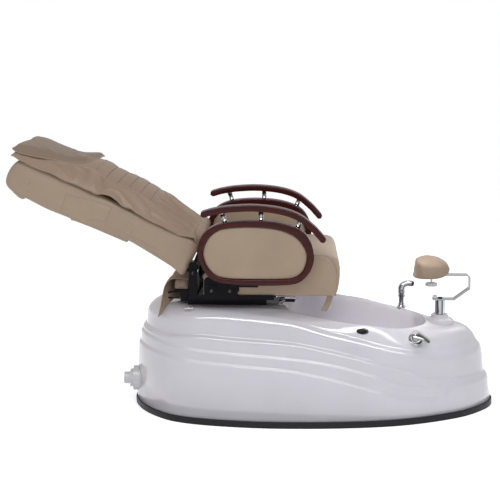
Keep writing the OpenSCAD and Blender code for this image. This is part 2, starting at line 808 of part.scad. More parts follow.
// Foot rest: collar, post, plug, swinging bracket and the pad on it
collar_base_r = 56;
collar_top_r = 37;
collar_base_z = 318;
collar_step_z = 350;
collar_top_z = 368;
post_foot_z = 346;
post_wall = 2.5;
post_bolt_l = 44;
plug_h = 16;
pin_r = 6;
pin_head_r = 9;
pin_head_t = 4;
bracket_t = 5;
bracket_w = 36;
bracket_gap = 0.3;
bracket_elbow_step = 55;
bracket_elbow_x = post_x + bracket_elbow_step;
bracket_out_step = 115;
bracket_out_x = post_x + bracket_out_step;
bracket_low_z = 475;
bracket_high_z = 530;
bracket_rear_step = -31;
bracket_rear_x = post_x + bracket_rear_step;
bracket_tip_step = -69;
bracket_tip_x = post_x + bracket_tip_step;
bracket_bevel = 9;
clamp_step = -21;
clamp_x = post_x + clamp_step;
clamp_stud_r = 3;
clamp_knob_r = 9;
clamp_knob_h = 13;
pad_step = -111;
pad_x = post_x + pad_step;
pad_screw_step = -37;
pad_screw_x = post_x + pad_screw_step;
pad_screw_r = 3.5;
pad_slide = 15;
pad_knob_r = 24;
pad_knob_t = 12;
pad_knob_z = 484;
pad_knob_lobes = 6;
lobe_share = 0.11;
board_t = 12;
board_in = 34;
board_z = 532.8;
lip_z = 523;

module post_collar() {
    color(white)
        difference() {
            translate([post_x, 0, 0])
                rotate_extrude($fn = small_fn * 3 / 2)
                    polygon([[post_bolt_r + fit, collar_base_z], [collar_base_r, collar_base_z],
                        [collar_base_r, collar_step_z - bracket_t], [collar_base_r - bracket_t, collar_step_z],
                        [collar_top_r, collar_step_z + bracket_t], [collar_top_r - bracket_t, collar_top_z],
                        [post_d / 2 + fit, collar_top_z], [post_d / 2 + fit, post_foot_z],
                        [post_bolt_r + fit, post_foot_z]]);
            tub_body();
        }
}
post_collar();

module foot_post() {
    color(chrome)
        translate([post_x, 0, 0]) {
            difference() {
                translate([0, 0, post_foot_z])
                    cylinder(h = post_top_z - post_foot_z, r = post_d / 2, $fn = round_fn);
                translate([0, 0, post_foot_z + bracket_t])
                    cylinder(h = post_top_z, r = post_d / 2 - post_wall, $fn = round_fn);
            }
            translate([0, 0, post_foot_z - post_bolt_l])
                cylinder(h = post_bolt_l, r = post_bolt_r, $fn = round_fn);
        }
}
foot_post();

module post_plug() {
    color(black)
        translate([post_x, 0, post_top_z]) {
            translate([0, 0, -plug_h])
                cylinder(h = plug_h, r = post_d / 2 - post_wall, $fn = round_fn);
            cylinder(h = bracket_t + 2 * bracket_gap + pin_head_t, r = pin_r, $fn = round_fn);
            translate([0, 0, bracket_t + 2 * bracket_gap])
                cylinder(h = pin_head_t, r = pin_head_r, $fn = round_fn);
        }
}
post_plug();

// A strip of even thickness along points in the plane
module strip2d(pts, t) {
    for (i = [0:len(pts) - 2]) {
        d = pts[i + 1] - pts[i];
        translate(pts[i])
            rotate(atan2(d[1], d[0]))
                translate([0, -t / 2])
                    square([norm(d), t]);
    }
    for (i = [1:len(pts) - 2])
        translate(pts[i])
            circle(r = t / 2, $fn = small_fn);
}

module foot_bracket() {
    z0 = post_top_z + bracket_gap + bracket_t / 2;
    color(zinc)
        difference() {
            across(-bracket_w / 2, bracket_w / 2)
                strip2d([[bracket_rear_x, z0], [bracket_elbow_x, z0], [bracket_out_x, bracket_low_z],
                    [bracket_out_x, bracket_high_z - bracket_bevel], [bracket_out_x - bracket_bevel, bracket_high_z],
                    [bracket_tip_x, bracket_high_z]], bracket_t);
            translate([post_x, 0, post_top_z])
                cylinder(h = 3 * bracket_t, r = pin_r + fit, $fn = round_fn);
            translate([clamp_x, 0, post_top_z])
                cylinder(h = 3 * bracket_t, r = clamp_stud_r + fit, $fn = round_fn);
            translate([pad_screw_x, 0, bracket_high_z - bracket_t])
                linear_extrude(2 * bracket_t)
                    plate2d(2 * pad_slide + 2 * pad_screw_r + eps, 2 * pad_screw_r + eps, pad_screw_r);
        }
}
foot_bracket();

module clamp_knob() {
    color(white)
        translate([clamp_x, 0, post_top_z + bracket_gap]) {
            cylinder(h = 2 * bracket_t, r = clamp_stud_r, $fn = small_fn);
            translate([0, 0, bracket_t + fit])
                cylinder(h = clamp_knob_h, r = clamp_knob_r, $fn = 8);
        }
}
clamp_knob();

module pad_board() {
    color(tan)
        translate([pad_x + pad_len / 2, 0, board_z])
            difference() {
                linear_extrude(board_t)
                    plate2d(pad_len - 2 * board_in, pad_w - 2 * board_in, board_in);
                translate([pad_screw_x - pad_x - pad_len / 2, 0, 0])
                    cylinder(h = board_t - eps, r = pad_screw_r, $fn = small_fn);
            }
}
pad_board();

// Side view of the pad: shares of its length, and of its height above the lip
pad_height = 84;
pad_top_shares = [[0, 0.63], [0.06, 0.8], [0.15, 0.93], [0.3, 0.99], [0.5, 0.95], [0.7, 0.85], [0.85, 0.71], [0.95, 0.52], [1, 0.3]];
pad_lip_shares = [[0, 0.1], [0.08, 0.02], [0.2, 0], [0.5, 0.01], [0.7, 0.06], [0.85, 0.2], [0.95, 0.36], [1, 0.45]];
pad_us = [0, 0.03, 0.08, 0.09, 0.15, 0.25, 0.4, 0.55, 0.7, 0.82, 0.91, 0.97, 1];
pad_ws = [-1, -0.97, -0.88, -0.78, -0.7, -0.35, 0, 0.35, 0.7, 0.78, 0.88, 0.97, 1];
function pad_half(u) = pad_w / 2 * pow(1 - pow(abs(2 * u - 1), 4), 0.3);

module foot_pad() {
    function px(u, w) = pad_x + pad_len * (0.02 + 0.96 * u);
    top = [for (u = pad_us) [for (w = pad_ws) let (h = max(pad_half(u), pad_w / 3))
        [px(u, w), h * w, lip_z + pad_height * (lookup(u, pad_top_shares) - 0.4 * pow(abs(w), 5))]]];
    under = [for (u = pad_us) [for (w = pad_ws) let (h = max(pad_half(u), pad_w / 3), edge = abs(w) > 0.8 || u < 0.085)
        [px(u, w), h * w * (edge ? 1 : 0.98), edge ? lip_z + pad_height * lookup(u, pad_lip_shares) : board_z + board_t + fit]]];
    color(tan)
        slab(top, under);
}
foot_pad();

module pad_knob() {
    color(white)
        translate([pad_screw_x, 0, pad_knob_z]) {
            linear_extrude(pad_knob_t)
                polygon([for (a = [0:5:355]) let (r = pad_knob_r * (1 + lobe_share * (cos(pad_knob_lobes * a) - 1)))
                    [r * cos(a), r * sin(a)]]);
            cylinder(h = board_z - pad_knob_z + board_t / 2, r = pad_screw_r - fit, $fn = small_fn);
        }
}
pad_knob();

// Chair: the sliding seat carriage and what stands on it
pivot_x = -472;
pivot_z = 582;
pivot_r = 8;
frame_bar_t = 15;
frame_bar_w = 30;
seat_frame_z = 477;
seat_frame_rear_x = -490;
seat_bar_xs = [-490, -330, -190];
side_in = 8;
side_y = seat_w / 2 + side_in;
side_t = 5;
side_plate_h = 68;
side_plate_xs = [-430, -300];
hinge_plate_w = 32;
shelf_l = 62;
shelf_w = 340;
arm_pivot = [-394, 527];
arm_bolt_r = 6;
arm_stop_x = -326;
runner_rear_x = -440;
runner_front_x = -120;
runner_t = 12;
runner_gap = 0.3;
runner_h = rail_h - 2 * base_wall - 2 * runner_gap;
runner_web = 4;

module slide_runners() {
    z0 = tub_h + base_wall + rail_lift + base_wall + runner_gap;
    y0 = base_web_y - base_wall - base_wall - runner_gap - runner_t;
    color(zinc)
        for (s = [-1, 1])
            scale_y(s)
                translate([runner_rear_x, y0, z0]) {
                    cube([runner_front_x - runner_rear_x, runner_t, runner_h]);
                    translate([0, 0, runner_h])
                        cube([runner_front_x - runner_rear_x, runner_web, seat_frame_z - z0 - runner_h]);
                }
}
slide_runners();

module seat_frame() {
    color(black)
        difference() {
            union() {
                for (x = seat_bar_xs)
                    translate([x, -side_y, seat_frame_z])
                        cube([frame_bar_w, 2 * side_y, frame_bar_t]);
                for (s = [-1, 1])
                    scale_y(s) {
                        translate([seat_frame_rear_x, side_y - frame_bar_w, seat_frame_z])
                            cube([seat_bar_xs[2] + frame_bar_w - seat_frame_rear_x, frame_bar_w, frame_bar_t]);
                        translate([side_plate_xs[0], side_y, seat_frame_z])
                            cube([side_plate_xs[1] - side_plate_xs[0], side_t - eps, side_plate_h]);
                        across(side_y, side_y + side_t) {
                            translate([pivot_x - hinge_plate_w / 2, seat_frame_z])
                                square([hinge_plate_w, pivot_z + 2 * frame_bar_w - hinge_plate_w - seat_frame_z]);
                            translate([pivot_x, pivot_z + 2 * frame_bar_w - hinge_plate_w])
                                circle(r = hinge_plate_w / 2, $fn = round_fn);
                        }
                    }
                translate([seat_frame_rear_x - shelf_l, -shelf_w / 2, seat_frame_z + frame_bar_t])
                    cube([shelf_l + frame_bar_w, shelf_w, plate_t]);
                translate([seat_bar_xs[2] + frame_bar_w - eps, -bail_lug_y, seat_frame_z])
                    cube([frame_bar_t + eps, bail_lug_w, frame_bar_t]);
            }
            cross_rod(bail_pivot[0], bail_pivot[1], -side_y, 0, bail_r + fit);
            cross_rod(pivot_x, pivot_z, -2 * side_y, 2 * side_y, pivot_r);
            cross_rod(arm_pivot[0], arm_pivot[1], -2 * side_y, 2 * side_y, arm_bolt_r);
        }
}
seat_frame();

pin_head_h = 5;
back_arm_y = 205;
back_arm_t = 6;

// Recline pins and arm pins, fixed in the side plates
module hinge_pins() {
    arm_head_y = side_y + 2 * side_t + 2 * fit;
    color(zinc)
        for (s = [-1, 1])
            scale_y(s) {
                cross_rod(pivot_x, pivot_z, back_arm_y, side_y + side_t, pivot_r - fit / 4);
                cross_rod(pivot_x, pivot_z, side_y + side_t, side_y + side_t + pin_head_h, pivot_r + plate_t);
                cross_rod(arm_pivot[0], arm_pivot[1], side_y, arm_head_y, arm_bolt_r - fit / 4);
                cross_rod(arm_pivot[0], arm_pivot[1], arm_head_y, arm_head_y + pin_head_h, arm_bolt_r + plate_t);
            }
}
hinge_pins();

board_rear_x = -430;
board_front_x = 80;
seat_board_t = 12;
seat_board_z = seat_frame_z + frame_bar_t;

module seat_board() {
    color([0.7, 0.55, 0.36])
        translate([board_rear_x, -seat_w / 2 + side_in, seat_board_z])
            cube([board_front_x - board_rear_x, seat_w - 2 * side_in, seat_board_t]);
}
seat_board();

// A padded form: one outline in X and Z, repeated across Y, drawn in at both ends and crowned on top
end_shares = [[-1, 1], [-0.985, 0.45], [-0.94, 0.12], [-0.85, 0], [-0.5, 0], [0, 0], [0.5, 0], [0.85, 0], [0.94, 0.12],
    [0.985, 0.45], [1, 1]];
function puffed(pts, half_w, draw, crown) = let (c = mean(pts)) [for (e = end_shares) [for (p = pts) let (v = unit(p - c),
        lift = p[1] > c[1] ? crown * (1 - e[0] * e[0]) : 0)
    [p[0] - v[0] * draw * e[1], half_w * e[0], p[1] - v[1] * draw * e[1] + lift]]];

seat_rear_x = -434;
seat_front_x = 98;
seat_draw = 14;
seat_crown = 9;
seat_shares = [[0.01, 0], [0, 0.06], [0, 0.34], [0.02, 0.4], [0.2, 0.43], [0.235, 0.46], [0.25, 0.82], [0.275, 0.88],
    [0.33, 0.9], [0.55, 0.94], [0.78, 0.985], [0.885, 1], [0.945, 0.985], [0.98, 0.93], [1, 0.82],
    [0.992, 0.6], [0.977, 0.3], [0.958, 0.1], [0.917, 0]];

module seat_cushion() {
    z0 = seat_board_z + seat_board_t;
    pts = [for (s = seat_shares) [seat_rear_x + (seat_front_x - seat_rear_x) * s[0], z0 + (seat_top_z - z0) * s[1]]];
    color(tan)
        loft(puffed(pts, seat_w / 2, seat_draw, seat_crown));
}
seat_cushion();

tab_top_xs = [30, 66];
tab_foot_xs = [14, 46];
tab_foot_z = 425;
tab_t = 3;
tab_y = 205;

module front_tab() {
    color(tan)
        across(-tab_y, -tab_y + tab_t)
            polygon([[tab_top_xs[0], seat_board_z], [tab_top_xs[1], seat_board_z],
                [tab_foot_xs[1], tab_foot_z], [tab_foot_xs[0], tab_foot_z]]);
}
front_tab();

pan_rear_x = -60;
pan_front_x = 25;
pan_w = 400;

module seat_pan() {
    color(black)
        translate([pan_rear_x, -pan_w / 2, seat_board_z - plate_t])
            cube([pan_front_x - pan_rear_x, pan_w, plate_t]);
}
seat_pan();

rear_pad_w = 330;
rear_pad_h = 42;
rear_pad_l = 52;
rear_pad_shares = [[0.1, 0], [0, 0.2], [0, 0.7], [0.12, 0.95], [0.3, 1], [0.8, 1], [0.95, 0.9], [1, 0.7], [1, 0.1], [0.92, 0]];

module rear_pad() {
    x0 = seat_frame_rear_x - shelf_l;
    z0 = seat_frame_z + frame_bar_t + plate_t;
    pts = [for (s = rear_pad_shares) [x0 + rear_pad_l * s[0], z0 + rear_pad_h * s[1]]];
    color(tan)
        loft(puffed(pts, rear_pad_w / 2, plate_t, 0));
}
rear_pad();

// Leather curtain from the rear pad down to the deck: its path in X and Z, and its folds
skirt_path = [[-496, 542.4], [-530, 543.3], [-556, 544.4], [-582, 541], [-598, 522], [-608, 498], [-616, 474], [-626, 448]];
skirt_w = 380;
skirt_t = 3;
skirt_fold = 6;
skirt_folds = 3;
skirt_cols = 24;

module rear_skirt() {
    n = len(skirt_path);
    function wave(i, j) = skirt_fold * i / (n - 1) * sin(360 * skirt_folds * j / skirt_cols);
    function out(i) = let (a = skirt_path[max(i - 1, 0)], b = skirt_path[min(i + 1, n - 1)], d = unit(b - a)) [d[1], -d[0]];
    function face(grow) = [for (i = [0:n - 1]) [for (j = [0:skirt_cols]) let (o = out(i) * (grow - wave(i, j)))
        [skirt_path[i][0] + o[0], -skirt_w / 2 + skirt_w * j / skirt_cols, skirt_path[i][1] + o[1]]]];
    color(tan)
        slab(face(-skirt_t), face(0));
}
rear_skirt();

box_l = 40;
box_h = 42;
box_y = -165;
box_w = 150;

module control_box() {
    color(black)
        translate([seat_frame_rear_x - box_l, box_y, seat_frame_z + frame_bar_t - box_h])
            cube([box_l, box_w, box_h]);
}
control_box();

// A cord swept along its points: rings of a few sides, square to the path
module cord(pts, r, sides) {
    n = len(pts);
    loft([for (i = [0:n - 1]) let (a = pts[max(i - 1, 0)], b = pts[min(i + 1, n - 1)], d = unit(b - a),
            u = unit(cross(d, [0, 1, 0])), w = cross(d, u))
        [for (k = [0:sides - 1]) pts[i] + (u * cos(360 * k / sides) - w * sin(360 * k / sides)) * r]]);
}

cable_r = 3;
cable_sides = 8;
cable_points = [[-530, -140, 484], [-540, -140, 484], [-560, -140, 483], [-578, -140, 480], [-586, -140, 474],
    [-588, -140, 467], [-584, -140, 461], [-574, -140, 458], [-560, -140, 457], [-540, -140, 457], [-530, -140, 457]];

module motor_cable() {
    color(black)
        cord(cable_points, cable_r, cable_sides);
}
motor_cable();

motor_r = 15;
motor_half_l = 150;
motor_strap_w = 16;
motor_strap_y = 140;

module recline_motor() {
    color(black) {
        cross_rod(pivot_x, pivot_z, -motor_half_l, motor_half_l, motor_r);
        for (s = [-1, 1])
            scale_y(s)
                across(motor_strap_y - plate_t, motor_strap_y)
                    translate([pivot_x - motor_strap_w / 2, seat_board_z + plate_t])
                        square([motor_strap_w, pivot_z - seat_board_z - plate_t]);
    }
}
recline_motor();

// Slide release: a wire bail on the near side with a rubber grip
bail_r = 2.5;
bail_sides = 12;
bail_y = -208;
bail_pivot = [-150, 482];
bail_points = [[-150, 482], [-122, 482], [-78, 482], [-72, 475], [-78, 466], [-122, 466], [-134, 460], [-142, 452], [-124, 448]];
grip_r = 6;
grip_xs = [-118, -80];
grip_z = 466;
bail_lug_w = 10;
bail_lug_y = 200;

module release_bail() {
    color(chrome) {
        cord([for (p = bail_points) [p[0], bail_y, p[1]]], bail_r, bail_sides);
        cross_rod(bail_pivot[0], bail_pivot[1], bail_y - bail_r, bail_y + frame_bar_w, bail_r);
    }
}
release_bail();

module release_grip() {
    color(black)
        difference() {
            rod([grip_xs[0], bail_y, grip_z], [grip_xs[1], bail_y, grip_z], grip_r);
            rod([grip_xs[0] - eps, bail_y, grip_z], [grip_xs[1] + eps, bail_y, grip_z], bail_r);
        }
}
release_grip();

// Backrest, drawn flat: X runs up the back from the pivot, Z is the front of the back
module on_back() {
    translate([pivot_x, 0, pivot_z])
        rotate([0, back_angle, 0])
            rotate(180)
                children();
}

box_foot = 17;
box_under = 32;
box_thick = 151;
box_wall = 20;
box_draw = 12;
cavity_top = 98;
box_shares = [[0, 0.24], [0.012, 0.03], [0.078, 0.047], [0.878, 0.047], [0.985, 0.14], [1, 0.267], [0.982, 0.9],
    [0.93, 0.973], [0.576, 1], [0.066, 0.98], [0.012, 0.72]];
cavity_gap = 0.3;
arm_tip_share = 0.9512;
arm_tip_u = back_len * arm_tip_share;
arm_path = [[0, -14], [40, -14], [100, cavity_gap], [arm_tip_u, cavity_gap], [arm_tip_u, 34], [60, 34], [0, 14]];
arm_foot_r = 14;
slot_path = [[-5, -16], [42, -16], [110, -1], [110, 37], [58, 37], [-5, 17]];
slot_gap = 2;

module back_box() {
    pts = [for (s = box_shares) [box_foot + back_len * s[0], box_thick * s[1] - box_under]];
    color(tan)
        on_back()
            difference() {
                loft([for (r = puffed(pts, back_w / 2, box_draw, 0)) [for (i = [len(r) - 1:-1:0]) r[i]]]);
                translate([box_foot + 2 * box_wall, -back_w / 2 + box_wall, 0])
                    cube([back_len - 3 * box_wall, back_w - 2 * box_wall, cavity_top]);
                for (s = [-1, 1])
                    scale_y(s)
                        across(back_arm_y - slot_gap, back_arm_y + back_arm_t + slot_gap)
                            polygon(slot_path);
            }
}
back_box();

cross_shares = [0.15424, 0.89974];
cross_us = [for (s = cross_shares) back_len * s];
cross_h = 89;
massage_rail_r = 6;
massage_rail_y = 90;
massage_rail_v = 56;
screw_r = 5;
carriage_share = 0.48843;
carriage_u = back_len * carriage_share;
carriage_l = 70;
carriage_h = 28;
carriage_w = 230;
roller_r = 13;
roller_w = 22;
roller_y = 60;
roller_v = 84;
roller_steps = [12, 58];
roller_us = [for (s = roller_steps) carriage_u + s];

module back_frame() {
    color(black)
        on_back()
            difference() {
                union() {
                    for (s = [-1, 1])
                        scale_y(s) {
                            across(back_arm_y, back_arm_y + back_arm_t) {
                                polygon(arm_path);
                                circle(r = arm_foot_r, $fn = round_fn);
                            }
                            cross_rod(0, 0, motor_half_l + fit, back_arm_y, pivot_r + 2 * fit);
                        }
                    for (u = cross_us)
                        translate([u, -back_arm_y, cavity_gap])
                            cube([plate_t, 2 * back_arm_y, cross_h]);
                }
                for (s = [-1, 1])
                    scale_y(s)
                        cross_rod(0, 0, back_arm_y, back_arm_y + 2 * back_arm_t, pivot_r);
            }
}
back_frame();

module massage_rails() {
    color(zinc)
        on_back()
            for (p = [[-massage_rail_y, massage_rail_r], [massage_rail_y, massage_rail_r], [0, screw_r]])
                rod([cross_us[0] + plate_t, p[0], massage_rail_v], [cross_us[1], p[0], massage_rail_v], p[1]);
}
massage_rails();

module massage_carriage() {
    color(black)
        on_back()
            difference() {
                union() {
                    translate([carriage_u, -carriage_w / 2, massage_rail_v - carriage_h / 2])
                        cube([carriage_l, carriage_w, carriage_h]);
                    for (u = roller_us, s = [-1, 1])
                        scale_y(s)
                            across(roller_y - plate_t, roller_y)
                                translate([u, massage_rail_v])
                                    polygon([[-roller_r / 2, 0], [roller_r / 2, 0], [roller_r / 2, roller_v - massage_rail_v],
                                        [-roller_r / 2, roller_v - massage_rail_v]]);
                }
                for (p = [[-massage_rail_y, massage_rail_r], [massage_rail_y, massage_rail_r], [0, screw_r]])
                    rod([carriage_u - eps, p[0], massage_rail_v],
                        [carriage_u + carriage_l + eps, p[0], massage_rail_v], p[1] + fit);
            }
}
massage_carriage();

module massage_rollers() {
    color(white)
        on_back()
            for (u = roller_us, s = [-1, 1])
                scale_y(s)
                    cross_rod(u, roller_v, roller_y, roller_y + roller_w, roller_r);
}
massage_rollers();

// Loose cover on the back: padded, with sewn channels across its middle and lips down the sides
// The backrest length that the cover's and flap's tables are drawn for
drawn_back_len = 778;
back_stretch = back_len / drawn_back_len;
cover_half_w = 262;
cover_us = concat([45, 90, 125, 165, 230], [for (i = [0:24]) 248 + 11.5 * i],
    [540, 570, 600, 640, 680, 720, 760, 790, 798, 816, 832]);
cover_ws = [-1, -0.966, -0.962, -0.9, -0.75, -0.5, -0.25, 0, 0.25, 0.5, 0.75, 0.9, 0.962, 0.966, 1];
cover_top_pairs = [[45, 126], [60, 132], [150, 156], [244, 168], [413, 173], [480, 184], [535, 190], [600, 176],
    [680, 149], [760, 136], [816, 130], [832, 124]];
channel_from = 248;
channel_to = 524;
channel_pitch = 46;
channel_depth = 7;
channel_half = 0.55;
lip_v = 92;
cover_t = 5;

function channel(u, w) = u < channel_from || u > channel_to || abs(w) > channel_half ? 0
    : channel_depth * pow(abs(cos(180 * (u - channel_from) / channel_pitch)), 6);
function cover_v(u, w) = let (v = lookup(u, cover_top_pairs))
    lip_v + cover_t + (v - lip_v - cover_t) * sqrt(1 - pow(abs(w), 8)) - channel(u, w);
function cover_low(u, w) = abs(w) > 0.964 ? lip_v
    : u * back_stretch > box_foot + back_len ? cover_v(u, w) - 3 * cover_t
    : box_thick - box_under + soft_gap;

module back_cover() {
    top = [for (u = cover_us) [for (w = cover_ws) [u * back_stretch, w * cover_half_w, cover_v(u, w)]]];
    under = [for (u = cover_us) [for (w = cover_ws) [u * back_stretch, w * cover_half_w, min(cover_low(u, w), cover_v(u, w) - cover_t / 2)]]];
    color(tan)
        on_back()
            slab(top, under);
}
back_cover();

flap_us = [545, 562, 600, 640, 680, 720, 760, 790, 798, 816];
flap_ws = [-0.75, -0.5, -0.25, 0, 0.25, 0.5, 0.75];
flap_t_pairs = [[545, 7], [562, 12], [600, 14], [640, 16], [680, 16], [760, 18], [798, 18], [816, 8]];

module head_flap() {
    top = [for (u = flap_us) [for (w = flap_ws) [u * back_stretch, w * cover_half_w, cover_v(u, w) + soft_gap + lookup(u, flap_t_pairs)]]];
    under = [for (u = flap_us) [for (w = flap_ws) [u * back_stretch, w * cover_half_w, cover_v(u, w) + soft_gap]]];
    color(tan)
        on_back()
            slab(top, under);
}
head_flap();

lumbar_half_w = 236;
lumbar_draw = 8;
lumbar_path = [[-8, 92], [-2, 76], [14, 68], [21, 74], [42.7, 92.4], [42.7, 125], [20, 126], [0, 112]];

module lumbar_pad() {
    color(tan)
        on_back()
            loft(puffed([for (i = [len(lumbar_path) - 1:-1:0]) lumbar_path[i]], lumbar_half_w, lumbar_draw, 0));
}
lumbar_pad();

// Arms: a wooden ring with a padded panel, a rail above it on three posts, and a hinged bracket
ring_x = -230;
ring_z = 671.5;
ring_steps = 3;
ring_shares = [[-0.5, 0.018], [-0.475, 0.2], [-0.43, 0.32], [-0.346, 0.42], [-0.217, 0.48], [-0.005, 0.5],
    [0.208, 0.464], [0.378, 0.36], [0.464, 0.193], [0.5, -0.034], [0.484, -0.217], [0.425, -0.38],
    [0.339, -0.472], [0.167, -0.5], [-0.133, -0.496], [-0.348, -0.436], [-0.45, -0.261]];
ring_hole_shares = [[-0.45, 0.034], [-0.414, 0.2], [-0.353, 0.333], [-0.26, 0.388], [-0.048, 0.396],
    [0.208, 0.36], [0.353, 0.237], [0.43, 0.058], [0.443, -0.066], [0.416, -0.249], [0.355, -0.372],
    [0.296, -0.404], [-0.048, -0.4], [-0.305, -0.38], [-0.398, -0.273]];
rail_shares = [[0.002, 0.701], [0.007, 0.781], [0.018, 0.812], [0.101, 0.901], [0.235, 0.966], [0.428, 1], [0.63, 0.925],
    [0.787, 0.75], [0.903, 0.436], [0.976, 0.16], [0.982, 0.109], [0.975, 0.032], [0.953, 0.01], [0.939, 0.036],
    [0.869, 0.301], [0.764, 0.589], [0.62, 0.748], [0.426, 0.82], [0.239, 0.786], [0.111, 0.724], [0.033, 0.639], [0.019, 0.644]];
rail_x = -436;
rail_z = 722;
rail_len = 473;
rail_rise = 133;
arm_inner_y = 265;
pad_t = 36;
pad_edge = 6;
post_r = 7;
post_collar_r = 12;
post_collar_h = 7;
// Feet and heads of the three posts, in X and Z
arm_posts = [[[-345, 784], [-358, 822]], [[-210, 790], [-210, 840]], [[-74, 762], [-58, 806]]];
bracket_xs = [-430, -294];
bracket_zs = [512, 549];
bracket_flange_xs = [-330, -220];
bracket_flange_w = 54;
bracket_boss_r = 18;

function ring_points(shares) = closed_curve([for (s = shares) [ring_x + ring_len * s[0], ring_z + ring_h * s[1]]], ring_steps);
function rail_points() = closed_curve([for (s = rail_shares) [rail_x + rail_len * s[0], rail_z + rail_rise * s[1]]], ring_steps);

module ring_body() {
    across(arm_inner_y, arm_inner_y + arm_w)
        polygon(ring_points(ring_shares));
}

module rail_body() {
    across(arm_inner_y, arm_inner_y + arm_w)
        polygon(rail_points());
}

module arm_ring() {
    color(mahogany)
        across(arm_inner_y, arm_inner_y + arm_w)
            difference() {
                polygon(ring_points(ring_shares));
                polygon(ring_points(ring_hole_shares));
            }
}

module arm_pad() {
    pts = ring_points(ring_hole_shares);
    mid = arm_inner_y + arm_w / 2;
    color(tan)
        translate([0, mid, 0])
            loft(puffed([for (i = [len(pts) - 1:-1:0]) let (c = mean(pts)) pts[i] - unit(pts[i] - c) * fit], pad_t / 2, pad_edge, 0));
}

module arm_rail() {
    color(mahogany)
        rail_body();
}

module arm_post_set() {
    y = arm_inner_y + arm_w / 2;
    color(chrome)
        difference() {
            for (p = arm_posts) {
                a = [p[0][0], y, p[0][1]];
                b = [p[1][0], y, p[1][1]];
                d = unit(b - a);
                rod(a, b, post_r);
                rod(a, a + d * 2 * post_collar_h, post_collar_r);
                rod(b - d * 2 * post_collar_h, b, post_collar_r);
            }
            ring_body();
            rail_body();
        }
}

module arm_bracket() {
    y0 = side_y + side_t + fit;
    color(black)
        difference() {
            union() {
                across(y0, y0 + side_t) {
                    translate([bracket_xs[0], bracket_zs[0]])
                        square([bracket_xs[1] - bracket_xs[0], bracket_zs[1] - bracket_zs[0]]);
                    translate([bracket_xs[0] + bracket_boss_r, bracket_zs[1]])
                        circle(r = bracket_boss_r, $fn = round_fn);
                    translate([bracket_xs[1], bracket_zs[1] - 2 * side_t])
                        square([bracket_flange_xs[1] - bracket_xs[1], 2 * side_t]);
                }
                translate([bracket_flange_xs[0], y0, bracket_zs[1] - 2 * side_t])
                    cube([bracket_flange_xs[1] - bracket_flange_xs[0], bracket_flange_w, 2 * side_t]);
                cross_rod(arm_stop_x, arm_pivot[1], y0 + side_t, y0 + side_t + pin_head_h, arm_bolt_r + plate_t);
            }
            cross_rod(arm_pivot[0], arm_pivot[1], 0, 2 * arm_inner_y, arm_bolt_r + fit);
            ring_body();
        }
}

module arm_ring_near() { scale_y(-1) arm_ring(); }
module arm_pad_near() { scale_y(-1) arm_pad(); }
module arm_rail_near() { scale_y(-1) arm_rail(); }
module arm_posts_near() { scale_y(-1) arm_post_set(); }
module arm_bracket_near() { scale_y(-1) arm_bracket(); }
module arm_ring_far() { arm_ring(); }
module arm_pad_far() { arm_pad(); }
module arm_rail_far() { arm_rail(); }
module arm_posts_far() { arm_post_set(); }
module arm_bracket_far() { arm_bracket(); }
arm_bracket_near();
arm_ring_near();
arm_pad_near();
arm_rail_near();
arm_posts_near();
arm_bracket_far();
arm_ring_far();
arm_pad_far();
arm_rail_far();
arm_posts_far();
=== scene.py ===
"""Looks of the pedicure chair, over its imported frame. Shapes are in millimetres, lamps in metres."""
import json
import math

import bpy
import numpy as np
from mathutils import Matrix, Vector, noise


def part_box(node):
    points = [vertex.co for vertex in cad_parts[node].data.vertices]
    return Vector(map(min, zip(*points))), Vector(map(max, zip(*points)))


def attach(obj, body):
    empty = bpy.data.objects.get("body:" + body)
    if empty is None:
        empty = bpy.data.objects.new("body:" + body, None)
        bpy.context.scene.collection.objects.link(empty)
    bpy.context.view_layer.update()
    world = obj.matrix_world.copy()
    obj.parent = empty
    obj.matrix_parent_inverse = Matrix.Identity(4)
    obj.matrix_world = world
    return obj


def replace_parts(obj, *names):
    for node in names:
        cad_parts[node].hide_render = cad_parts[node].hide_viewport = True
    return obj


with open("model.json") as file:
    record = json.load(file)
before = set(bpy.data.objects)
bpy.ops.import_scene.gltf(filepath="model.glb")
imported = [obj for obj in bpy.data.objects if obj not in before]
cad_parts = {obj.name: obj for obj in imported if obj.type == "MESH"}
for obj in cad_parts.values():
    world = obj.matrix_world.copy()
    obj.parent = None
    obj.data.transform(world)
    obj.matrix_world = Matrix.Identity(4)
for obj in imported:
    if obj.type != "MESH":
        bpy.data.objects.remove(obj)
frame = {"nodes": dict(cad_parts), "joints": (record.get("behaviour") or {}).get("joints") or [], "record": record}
NODES = frame["nodes"]
SLOT = {s["node"]: s["material_slot"] for s in frame["record"]["subparts"]}
JOINT = {j["name"]: j for j in frame["joints"]}
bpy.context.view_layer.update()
scene = bpy.context.scene
MM = 0.001
SIDES = (("near", -1), ("far", 1))


def box_mm(node):
    """Lowest and highest corner of a CAD node at rest."""
    return np.round(np.array(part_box(node)) / MM, 1)


def joint_mm(name):
    """A joint's place at rest."""
    return np.round(np.array(JOINT[name]["pos_m"]) / MM, 1)


def add(name, data):
    ob = bpy.data.objects.new(name, data)
    scene.collection.objects.link(ob)
    return ob


# Camera, fitted to the photograph
LENS = 87.05
EYE = (-0.105, -4.8, 1.517)
LOOK_AT = (-0.261, 0, 0.626)


def look(ob, at):
    ob.rotation_euler = (Vector(at) - ob.location).to_track_quat("-Z", "Y").to_euler()


def make_camera():
    cam = bpy.data.cameras.new("camera")
    cam.sensor_width = 36
    cam.lens = LENS
    ob = add("camera", cam)
    ob.location = EYE
    look(ob, LOOK_AT)
    scene.camera = ob
    scene.view_settings.view_transform = "Standard"


make_camera()


